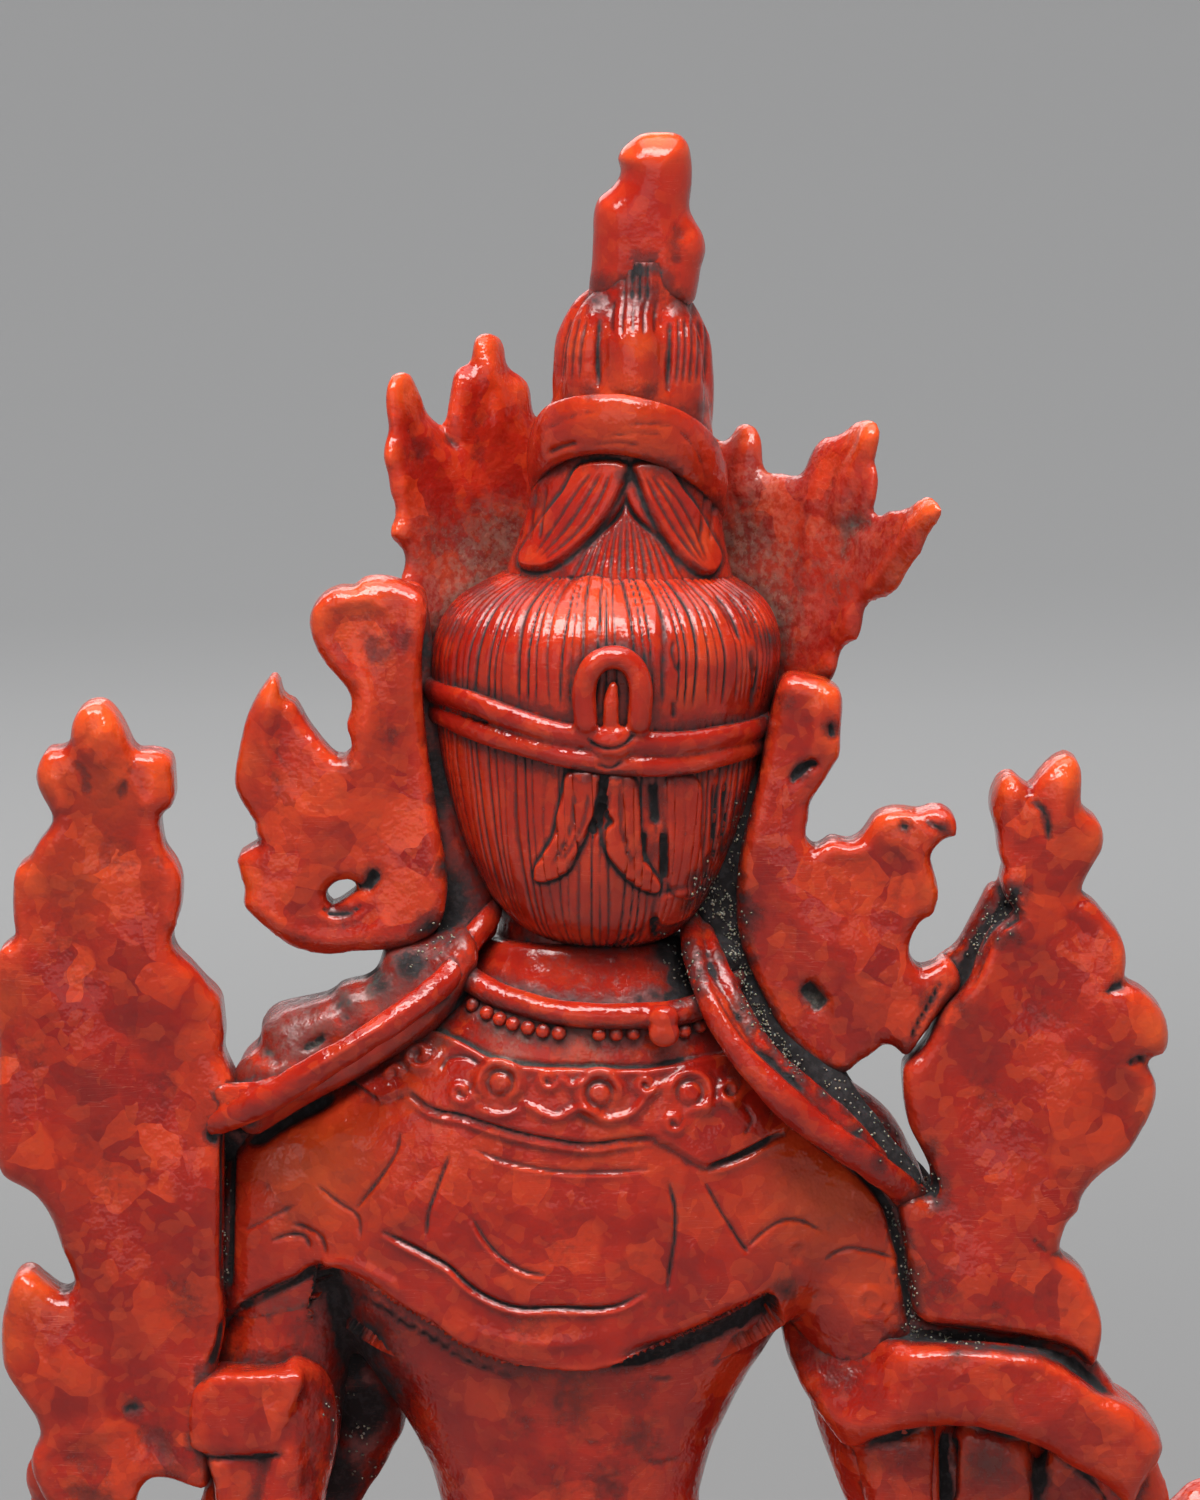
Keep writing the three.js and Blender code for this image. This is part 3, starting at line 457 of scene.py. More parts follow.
def stack(rows, sides=64, finer=6):
    """A body of ovals stacked up. Each row holds height, middle x, half-width, middle y, half-depth
    and how far the oval droops at her back."""
    rows = np.array([list(r) + [0] * (6 - len(r)) for r in rows], float)
    rows = curve(rows, (len(rows) - 1) * finer + 1)
    angle = turns(sides)[None, :]
    z, x, wide, y, deep, droop = (rows[:, k : k + 1] for k in range(6))
    return rolled(np.stack([
        x + wide * np.cos(angle),
        y + deep * np.sin(angle),
        z - droop * np.sin(angle),
    ], axis=2))


def ball(place, radii, lean=(0, 0, 0), finer=3):
    """A ball or egg, leaning by degrees about X, Y and Z."""
    clear()
    bpy.ops.mesh.primitive_ico_sphere_add(
        subdivisions=finer,
        radius=1,
        location=Vector(place) * MM,
        rotation=[math.radians(a) for a in lean],
        scale=[r * MM for r in (radii if isinstance(radii, (list, tuple)) else (radii,) * 3)],
    )
    bpy.ops.object.transform_apply(location=True, rotation=True, scale=True)
    return bpy.context.object


def modify(piece, kind, **values):
    """One modifier, set and applied."""
    pick_up(piece)
    change = piece.modifiers.new(kind.lower(), kind)
    for key, value in values.items():
        setattr(change, key, value)
    bpy.ops.object.modifier_apply(modifier=change.name)


def to_rim(x, z, rim):
    """How far points are from an outline in the XZ plane."""
    nearest = np.full(len(x), 1e9)
    for a, b in zip(rim, np.roll(rim, -1, axis=0)):
        run = b - a
        t = np.clip(((x - a[0]) * run[0] + (z - a[1]) * run[1]) / max(run @ run, 1e-12), 0, 1)
        nearest = np.minimum(nearest, np.hypot(x - a[0] - run[0] * t, z - a[1] - run[1] * t))
    return nearest


def slab(outline, thick, back, soft=0.9, voxel=0.32, holes=()):
    """A carved plate seen from behind: its outline in the photograph's pixels, its back on
    y = back(x, z), and its edges rounded over by soft millimetres. Voxel is the grain of its mesh."""
    rings, plates = [], []
    for line, deep in [(outline, thick)] + [(hole, 3 * thick) for hole in holes]:
        ring = seen(curve(line, len(line) * 4, closed=True), back)[:, [0, 2]]
        clear()
        bpy.ops.mesh.primitive_circle_add(vertices=len(ring), radius=1, fill_type="NGON")
        plate = bpy.context.object
        move_to(plate, np.stack([ring[:, 0], np.full(len(ring), (deep - thick) / 2), ring[:, 1]], axis=1))
        bpy.ops.object.mode_set(mode="EDIT")
        bpy.ops.mesh.select_all(action="SELECT")
        bpy.ops.mesh.extrude_region_move(TRANSFORM_OT_translate={"value": (0, -deep * MM, 0)})
        bpy.ops.mesh.select_all(action="SELECT")
        bpy.ops.mesh.normals_make_consistent(inside=False)
        bpy.ops.object.mode_set(mode="OBJECT")
        rings.append(ring)
        plates.append(plate)
    plate = plates[0]
    for cutter in plates[1:]:
        modify(plate, "BOOLEAN", operation="DIFFERENCE", object=cutter)
        bpy.data.objects.remove(cutter)
    modify(plate, "REMESH", mode="VOXEL", voxel_size=voxel * MM)
    points = points_of(plate)
    inside = np.min([to_rim(points[:, 0], points[:, 2], ring) for ring in rings], axis=0)
    inside = np.minimum(inside, soft)
    share = (points[:, 1] + thick / 2) / (thick / 2)
    half = thick / 2 - soft + np.sqrt(np.maximum(soft**2 - (soft - inside) ** 2, 0))
    face = back(points[:, 0], points[:, 2]) if callable(back) else back
    thinnest = 0.12 * thick
    points[:, 1] = face - thick / 2 + share * np.maximum(half, thinnest)
    move_to(plate, points)
    return plate


def joined(name, parts):
    """Parts kept as they are, in one piece."""
    pick_up(*parts)
    if len(parts) > 1:
        bpy.ops.object.join()
    parts[0].name = name
    return parts[0]


def fused(name, parts, voxel, smooth=3, waves=0.0):
    """Parts melted into one skin of a voxel's grain, with the soft low waves of a casting."""
    piece = joined(name, parts)
    modify(piece, "REMESH", mode="VOXEL", voxel_size=voxel * MM)
    if smooth:
        modify(piece, "SMOOTH", factor=0.5, iterations=smooth)
    if waves:
        modify(piece, "DISPLACE", texture=WAVES, texture_coords="LOCAL", strength=waves * MM, mid_level=0.5)
    return piece


WAVES = bpy.data.textures.new("casting waves", "CLOUDS")
WAVES.noise_scale = 2.6 * MM
WAVES.noise_depth = 1


def paint(piece, name, values, most=True):
    """Values laid on a piece's vertices, kept where those already there are stronger."""
    layer = piece.data.attributes.get(name) or piece.data.attributes.new(name, "FLOAT", "POINT")
    before = np.empty(len(piece.data.vertices), np.float32)
    layer.data.foreach_get("value", before)
    layer.data.foreach_set("value", (np.maximum(before, values) if most else values).astype(np.float32))


BEHIND, BEFORE = "behind", "before"


def flattened(points, normals, side):
    """Points as they are drawn on: the photograph's pixels behind her, or x and z before her."""
    if side == BEHIND:
        return pixels_of(points), normals @ view_back
    return points[:, [0, 2]], -normals[:, 1]


def carve(piece, strokes, side=BEHIND, soil_and_shade=0.8):
    """Lines cut into a piece, or raised on it where the depth is below zero. A stroke is its points,
    its width, its depth in millimetres, then how high a lip stands on its right as it is drawn. Where
    the skin turns away from the side, nothing is cut."""
    points, normals = points_of(piece), normals_of(piece)
    flat, facing = flattened(points, normals, side)
    rise, shade_and_dirt = np.zeros(len(points)), np.zeros(len(points))
    for stroke in strokes:
        path, wide, deep = stroke[:3]
        lip = stroke[3] if len(stroke) > 3 else 0
        path = curve(path, max(2, (len(path) - 1) * 5 + 1)) if len(path) > 2 else np.asarray(path, float)
        reach = 4 * wide
        near = np.flatnonzero(
            ((flat > path.min(0) - reach) & (flat < path.max(0) + reach)).all(axis=1) & (facing > 0.12)
        )
        if not len(near):
            continue
        here = flat[near]
        nearest, aside, along = np.full(len(near), 1e9), np.zeros(len(near)), np.zeros(len(near))
        for k, (a, b) in enumerate(zip(path[:-1], path[1:])):
            run = b - a
            t = np.clip(((here - a) @ run) / max(run @ run, 1e-12), 0, 1)
            gap = here - a - run * t[:, None]
            far = np.hypot(*gap.T)
            closer = far < nearest
            nearest[closer] = far[closer]
            aside[closer] = ((gap[:, 1] * run[0] - gap[:, 0] * run[1]) / np.linalg.norm(run))[closer]
            along[closer] = (k + t[closer]) / (len(path) - 1)
        # a cut runs out over the last sixth of its length at either end
        end = np.clip(np.minimum(along, 1 - along) / 0.16, 0, 1) ** 0.6
        cut = np.exp(-((nearest / wide) ** 2)) * (0.25 + 0.75 * end) * (nearest < reach)
        sign = 1 if side == BEHIND else -1
        edge = np.exp(-(((sign * aside - 1.7 * wide) / (1.1 * wide)) ** 2)) * end * (nearest < reach)
        rise[near] += lip * edge - deep * cut
        # each cut is also painted darker along its groove: soiling and painted shade in the crease
        if deep > 0:
            shade_and_dirt[near] = np.maximum(shade_and_dirt[near], soil_and_shade * min(1.0, 0.35 + deep * 2.2) * cut)
    move_to(piece, points + normals * rise[:, None])
    paint(piece, "soil_and_shade", shade_and_dirt)


def blot(piece, name, spots):
    """Soft round spots on her back: soiling with painted shade, painted light, or grit. A spot is its place, its
    radius and its strength.
    """
    points, normals = points_of(piece), normals_of(piece)
    flat, facing = flattened(points, normals, BEHIND)
    value = np.zeros(len(points))
    for x, y, radius, strength in spots:
        far = np.hypot(flat[:, 0] - x, flat[:, 1] - y) / radius
        value = np.maximum(value, strength * np.exp(-(far**2)) * (facing > -0.2))
    paint(piece, name, value)


def spiral(x, y, radius, turns, start=0.0, inwards=0.25, way=1):
    """Points of a scroll that winds in to a share of its radius."""
    angle = np.linspace(0, 2 * math.pi * turns, max(6, int(10 * turns)))
    reach = radius * (1 - (1 - inwards) * angle / angle[-1])
    return [(x + r * math.cos(start + way * a), y + r * math.sin(start + way * a)) for a, r in zip(angle, reach)]


def disc(x, y, radius):
    """A round outline."""
    return [(x + radius * math.cos(a), y + radius * math.sin(a)) for a in turns(8)]


def tree_of(*solids):
    """Solids as one surface to lay things on, in millimetres."""
    points, faces, base = [], [], 0
    for one in solids:
        one.data.calc_loop_triangles()
        corners = np.empty(len(one.data.loop_triangles) * 3, np.int32)
        one.data.loop_triangles.foreach_get("vertices", corners)
        faces += (corners.reshape(-1, 3) + base).tolist()
        points += points_of(one).tolist()
        base = len(points)
    return BVHTree.FromPolygons(points, faces)


def onto(tree, pixels, lift=0.0):
    """Points of the photograph laid on a surface, lifted off it towards the camera."""
    placed = []
    for point in seen(pixels, 40.0):
        ray = Vector(unit(point - view_place))
        hit = tree.ray_cast(Vector(view_place), ray)[0]
        if hit is not None:
            placed.append(np.array(hit) + view_back * lift)
    return np.array(placed)


def before(tree, spots, lift=0.0):
    """Points given by x and z laid on her front, lifted towards -Y."""
    placed = []
    for x, z in spots:
        hit = tree.ray_cast(Vector((x, -80, z)), Vector((0, 1, 0)))[0]
        if hit is not None:
            placed.append(np.array(hit) - np.array([0, lift, 0]))
    return np.array(placed)


pieces = []


def finished(piece, chips):
    """A piece in its resin, fixed in place, standing for the cast solid. Chips says how strongly the
    crushed chips show in it, from 0 to 1."""
    piece.data.materials.clear()
    piece.data.materials.append(RESIN)
    paint(piece, "chips", np.full(len(piece.data.vertices), chips), most=False)
    for layer in ("soil_and_shade", "painted_glow"):
        paint(piece, layer, np.zeros(len(piece.data.vertices)))
    pick_up(piece)
    bpy.ops.object.shade_smooth()
    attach(piece, "root")
    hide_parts(CAST)
    pieces.append(piece)
    return piece


def within(here, ring):
    """Which points are inside an outline."""
    inside = np.zeros(len(here), bool)
    for (ax, ay), (bx, by) in zip(ring, np.roll(ring, -1, axis=0)):
        if ay == by:
            continue
        across = (ay > here[:, 1]) != (by > here[:, 1])
        inside ^= across & (here[:, 0] < ax + (here[:, 1] - ay) * (bx - ax) / (by - ay))
    return inside


def emboss(piece, outline, height, edge=5, soil_and_shade=0.5):
    """A patch of her back raised inside an outline, soiled and painted with shade along its foot."""
    points, normals = points_of(piece), normals_of(piece)
    flat, facing = flattened(points, normals, BEHIND)
    ring = curve(outline, len(outline) * 4, closed=True)
    low, high = ring.min(0) - 2 * edge, ring.max(0) + 2 * edge
    near = np.flatnonzero(((flat > low) & (flat < high)).all(axis=1) & (facing > 0.05))
    here = flat[near]
    depth = to_rim(here[:, 0], here[:, 1], ring)
    depth = np.where(within(here, ring), depth, -depth) / edge
    t = np.clip(depth + 0.5, 0, 1)
    rise, shade_and_dirt = np.zeros(len(points)), np.zeros(len(points))
    rise[near] = height * t * t * (3 - 2 * t)
    shade_and_dirt[near] = soil_and_shade * np.exp(-(((depth + 0.55) / 0.6) ** 2))
    move_to(piece, points + normals * rise[:, None])
    paint(piece, "soil_and_shade", shade_and_dirt)


def finer(piece, chosen):
    """Cuts the faces whose middles are chosen into four."""
    mesh = piece.data
    middles = np.empty(len(mesh.polygons) * 3, np.float32)
    mesh.polygons.foreach_get("center", middles)
    pick = chosen(middles.reshape(-1, 3) / MM)
    pick_up(piece)
    bpy.context.tool_settings.mesh_select_mode = (False, False, True)
    mesh.vertices.foreach_set("select", np.zeros(len(mesh.vertices), bool))
    mesh.edges.foreach_set("select", np.zeros(len(mesh.edges), bool))
    mesh.polygons.foreach_set("select", pick)
    bpy.ops.object.mode_set(mode="EDIT")
    bpy.ops.mesh.subdivide(number_cuts=1, smoothness=0)
    bpy.ops.object.mode_set(mode="OBJECT")
    bpy.context.tool_settings.mesh_select_mode = (True, False, False)


def hoop(place, along, radius, thick):
    """A round ring square to a direction."""
    clear()
    bpy.ops.mesh.primitive_torus_add(
        major_radius=radius * MM, minor_radius=thick * MM, major_segments=36, minor_segments=8,
        location=Vector(place) * MM, rotation=turned(along, "Z"),
    )
    bpy.ops.object.transform_apply(location=True, rotation=True, scale=True)
    return bpy.context.object


def band(place, radii, sides):
    """A closed band: place gives the point at an angle from +X, radii are outwards and upwards."""
    path = np.array([place(t) for t in turns(72)], float)
    along = unit(np.roll(path, -1, axis=0) - np.roll(path, 1, axis=0))
    up = unit(np.array([0, 0, 1.0]) - along[:, 2:] * along)
    out = np.cross(along, up)
    angle = np.linspace(0, 2 * math.pi, sides + 1)[None, :, None]
    rows = path[:, None] + out[:, None] * radii[0] * np.cos(angle) + up[:, None] * radii[1] * np.sin(angle)
    return sewn(np.concatenate([rows, rows[:1]]))


def depths(points):
    """Points of the photograph, each with its own y."""
    return np.concatenate([seen([p[:2]], p[2]) for p in points])


# SEAT AND LAP
def lotus_seat():
    """The oval double lotus: a row of petals that opens upwards over a row that hangs down."""
    wide, deep, count = 44, 31, 12
    core = stack([
        [0, 0, 43.7, 0, 30.7], [2.2, 0, 43.4, 0, 30.4], [3.4, 0, 41.6, 0, 29], [5.5, 0, 38, 0, 26.6],
        [10, 0, 36.4, 0, 25.6], [15, 0, 34, 0, 24], [20, 0, 36.4, 0, 25.6], [24.5, 0, 39, 0, 27.5],
        [26.6, 0, 41.2, 0, 29], [28.6, 0, 41.8, 0, 29.4], [30, 0, 41.4, 0, 29],
    ], sides=96, finer=3)

    def petal(turn, reach, base, tip, shares, bulge, thick):
        rows = []
        angle = turns(18)
        for t in np.linspace(0, 0.99, 12):
            half = reach * min(1, 0.72 + 0.7 * t) * (1 - max(0, (t - 0.4) / 0.6) ** 2.3) ** 0.65
            u = turn + half * np.cos(angle)
            share = np.interp(t, (0, 0.3, 0.6, 0.85, 1), shares)
            out = thick * np.sin(angle) + bulge * np.sin(angle) ** 2 * math.sin(math.pi * min(1, 0.25 + t * 0.8))
            across = unit(np.stack([np.cos(u) / wide, np.sin(u) / deep], axis=1))
            rows.append(np.stack([
                wide * share * np.cos(u) + across[:, 0] * out,
                deep * share * np.sin(u) + across[:, 1] * out,
                np.full(len(u), base + (tip - base) * t),
            ], axis=1))
        return rolled(rows)

    parts = [core]
    step = 2 * math.pi / count
    for k in range(count):
        middle = step * (k + 0.5)
        parts += [
            petal(middle, step * 0.50, 14, 26.4, (0.79, 0.86, 0.895, 0.925, 0.95), 0.9, 1.2),
            petal(middle, step * 0.31, 15, 24.4, (0.82, 0.885, 0.925, 0.94, 0.95), 1.0, 1.0),
            petal(middle + step / 2, step * 0.24, 16, 26.2, (0.79, 0.85, 0.885, 0.92, 0.945), 0.5, 0.9),
            petal(middle, step * 0.50, 15.4, 3.6, (0.79, 0.85, 0.885, 0.90, 0.90), 0.9, 1.2),
            petal(middle, step * 0.31, 14.6, 5.4, (0.82, 0.88, 0.92, 0.92, 0.91), 1.0, 1.0),
            petal(middle + step / 2, step * 0.24, 14, 3.8, (0.79, 0.84, 0.87, 0.885, 0.885), 0.5, 0.9),
        ]
    seat = fused("lotus_seat", parts, voxel=0.62, smooth=2, waves=0.25)
    points = points_of(seat)
    points[:, 2] = np.where(points[:, 2] < 0.5, 0, points[:, 2])
    move_to(seat, points)
    finished(seat, chips=0.6)
    beads = []
    count = 84
    for k in range(count):
        a = 2 * math.pi * k / count
        beads.append(ball((42.3 * math.cos(a), 29.8 * math.sin(a), 28.2), 1.0, finer=2))
    finished(joined("seat_beads", beads), chips=0.5)


def crossed_legs():
    """Her legs folded one on the other under the skirt, which spreads in pleats before her."""
    knee, parts = 37.5, []
    for side in (1, -1):
        top = 1.8 if side < 0 else 0
        parts += [
            limb([[side * 9, 6, 39], [side * 24, 0, 39], [side * 34, -8, knee]], [9, 8, 6.4], sides=28),
            limb([[side * 34, -9, knee - 1], [side * 18, -19, 35.5 + top], [side * -4, -22, 37.5 + top]],
                 [6.2, 5, 3.4], sides=24),
            limb([[side * -2, -21, 38.5 + top], [side * -9, -19, 41 + top], [side * -17, -15, 43]],
                 [[2.8, 2.3], [3.5, 2.1], [2.9, 1.4]], flat=(0, 0, 1), sides=18),
        ]
        for toe in range(5):
            x = side * (-18.2 - 0.2 * (2 - toe) ** 2 * 0.6)
            parts.append(ball((x, -17.4 + toe * 1.25, 43.4 + top * 0.2), (1.5, 0.75, 0.75), finer=2))
    parts += [
        stack([[29.5, 0.5, 19, 4, 11.5], [36, 0.5, 18, 4.5, 11], [42, 1, 15, 5.5, 9.5], [48, 1.4, 12, 6.5, 8]]),
        ball((0, -12, 34), (24, 13, 6), finer=4),
        limb([[-27, -16, 30.8], [-21, -21.5, 30.8], [-9, -26.2, 30.8], [9, -26.2, 30.8], [21, -21.5, 30.8],
              [27, -16, 30.8]],
             [[2.0, 1.5], [3, 1.7], [3.8, 1.8], [3.8, 1.8], [3, 1.7], [2.0, 1.5]], flat=(0, 0, 1), sides=16),
    ]
    for side in (1, -1):
        lift = 1 if side < 0 else 0
        parts.append(limb(
            [[side * 30, 8, 62], [side * 32.5, 8, 57], [side * 29.5, 8, 51.5], [side * 33, 6, 46],
             [side * 38, 4, 42 + lift], [side * 38.6, 2, 35], [side * 36, 2, 30]],
            [[2.6, 2], [2.4, 1.6], [2.6, 1.6], [2.8, 1.6], [2.8, 1.6], [3, 1.6], [3.4, 1.6]], sides=16))
        away = 3.8 if side < 0 else 0
        parts.append(limb(
            [[side * (20.6 + away), 8.4 - 0.3 * away, 62], [side * (22.4 + 0.7 * away), 8.4 - 0.2 * away, 56.6],
             [side * 26.5, 7.6, 50], [side * 31, 6, 44.6]],
            [[2.4, 2.2], [2.4, 1.8], [2.2, 1.5], [1.6, 1.2]], sides=16))
    legs = fused("legs_and_skirt", parts, voxel=0.5, smooth=3, waves=0.3)
    pleats = []
    for side in (1, -1):
        for k in range(6):
            s = side * (2.2 + 3.9 * k)
            pleats.append([[(s * 0.8, 34.8), (s, 32.4), (s * 1.06, 29.6)], 0.55, 0.5])
        for k in range(5):
            pleats.append([[(side * (36 - 2 * k), 43 - 0.6 * k), (side * (27 - 2 * k), 40.6 - 1.1 * k),
                            (side * (15 - 2.6 * k), 38.8 - 1.0 * k)], 0.5, 0.35])
        pleats.append([[(side * 38, 36), (side * 30, 33.6), (side * 20, 32.2)], 0.6, 0.4])
    pleats.append([[(-24, 33.2), (-12, 34.4), (0, 34.6), (12, 34.4), (24, 33.2)], 0.5, 0.5, 0.2])
    carve(legs, pleats, side=BEFORE, soil_and_shade=0.5)
    finished(legs, chips=0.45)


# BODY
BODY_Y = 7
HEAD_Y = 6


def trunk_and_arms():
    """The bare waist above the rolled sash, the breast, and both arms with their hands."""
    y = BODY_Y
    parts = [
        stack([[45, 1.4, 11.5, y, 8], [46.2, 1.4, 13, y, 8.8], [49.2, 1.5, 12.4, y, 8.4], [50.8, 1.6, 10.2, y, 7.1],
               [57, 1.8, 7.9, y, 6.2], [62, 2.1, 9.3, y, 6.4], [68, 2.4, 13, y, 7], [75, 1.6, 16.4, y, 7.2],
               [81, 1, 13.6, y, 6], [86, 1, 6.4, y, 5]]),
        stack([[85, 1, 5.9, y - 1, 5.6], [90, 1, 5.4, y - 1.2, 5.2], [96, 0.6, 5.4, y - 1.6, 5.2]], sides=40),
    ]
    parts += [ball((1.6 + side * 6, y - 5.4, 72.6), (5, 4.6, 4.8)) for side in (1, -1)]
    shoulder, arm, wrist = 4.5, 4.3, 2.5
    parts.append(limb(
        [[17.6, y - 1.0, 78], [19.2, y - 0.8, 68.5], [20.2, y - 1.4, 60.6], [17.4, -4.5, 63.4], [11, -11, 70],
         [9, -12.4, 74.4]],
        [shoulder, arm, arm, 3.5, wrist, [3.1, 1.7]], sides=24))
    parts.append(limb(
        [[-13.8, y - 1.0, 77], [-16.4, y - 0.8, 66.5], [-19.8, y - 1.6, 57.4], [-26, -6, 51], [-30, -13.8, 46.2],
         [-31.4, -17.6, 42.6]],
        [shoulder, arm, arm, 3.4, wrist, [3.1, 1.7]], sides=24, flat=(-0.5, -0.7, 0.7)))
    for i in range(4):
        spread, reach = (i - 1.5) * 1.5, 5.6 - abs(i - 1.2) * 0.7
        curl = 2.6 if i == 0 else 0
        parts.append(limb(
            [[8.8 - spread, -12.4, 74], [8.5 - spread * 1.1, -13 - curl * 0.6, 76 + reach * 0.6],
             [8.3 - spread * 1.1, -12.6 - curl, 76 + reach - curl]], [0.78, 0.72, 0.6], sides=12))
        parts.append(limb(
            [[-31.4 + spread, -17.6, 43.2], [-32.4 + spread * 1.1, -20.4 - reach * 0.2, 41.4 - reach * 0.5],
             [-32.8 + spread * 1.1, -21 - reach * 0.25, 41 - reach]], [0.78, 0.72, 0.6], sides=12))
    parts.append(limb([[6.6, -12, 73.5], [5.2, -13.8, 75.6], [6.6, -15, 77.6]], [1, 0.9, 0.7]))
    parts.append(limb([[-28.6, -15.5, 45], [-27.2, -18.6, 42.6], [-27.6, -20.4, 40]], [1, 0.9, 0.7]))
    parts.append(ball((15.3, -2.5, 65.6), (4.4, 4.4, 5.4), lean=(0, 18, 0)))
    body = fused("trunk_and_arms", parts, voxel=0.38, smooth=3, waves=0.22)
    carve(body, [
        [[(760, 1302), (790, 1308), (822, 1318), (866, 1336)], 7, 0.5],
        [[(585, 1440), (612, 1446), (640, 1440)], 3, 0.06], [[(640, 1460), (662, 1462), (680, 1458)], 2.6, 0.08],
        [[(650, 1380), (664, 1379), (676, 1381)], 2.6, 0.08],
    ])
    # dark hem lines and the slit between the drapes: painted shade with soiling
    carve(body, [
        [[(612, 1366), (645, 1357), (678, 1346), (706, 1335), (732, 1323), (758, 1309), (774, 1300)], 8, 0.35],
        [[(345, 1290), (372, 1302), (400, 1320), (431, 1338), (458, 1356), (500, 1373), (540, 1379)], 2.8, 0.08],
        [[(948, 1432), (948, 1470), (947, 1510)], 6, 0.8],
    ], soil_and_shade=1.5)
    carve(body, [
        [[(-8.6, 50.9), (1.6, 49.9), (11.6, 50.9)], 0.5, 0.4], [[(-9.4, 46.4), (1.6, 45.2), (12.6, 46.4)], 0.5, 0.5],
        [[(-10, 48.6), (1.6, 47.4), (13, 48.6)], 0.3, 0.2], [[(1.8, 57.2), (1.8, 56.2)], 0.7, 0.6],
        [[(-4.6, 69), (-1, 67.6), (1.6, 68.6), (4.2, 67.6), (8, 69)], 0.5, 0.2],
    ], side=BEFORE, soil_and_shade=0.6)
    # soil spots: soiling and painted shade in the dark gaps beside her arms, at her waist and in the shadow under her
    # neck
    blot(body, "soil_and_shade", [
        (345, 1300, 30, 0.9), (360, 1345, 34, 1.3), (368, 1395, 40, 1.5), (378, 1450, 40, 1.4), (345, 1450, 26, 1.1),
        (316, 1400, 20, 0.6), (310, 1450, 22, 0.5), (300, 1330, 26, 0.35), (374, 1338, 14, 1.3), (773, 1318, 16, 1.1),
        (770, 1350, 16, 0.9), (775, 1390, 16, 0.6), (672, 965, 26, 1.0), (690, 1010, 22, 1.0), (500, 985, 16, 0.5),
        (570, 1410, 28, 0.46), (640, 1438, 28, 0.48), (606, 1482, 26, 0.48), (520, 1420, 22, 0.36),
        (556, 1476, 22, 0.36), (560, 975, 30, 0.3), (640, 1390, 22, 0.35), (560, 1440, 60, 0.12),
    ])
    finished(body, chips=0.5)
    return body


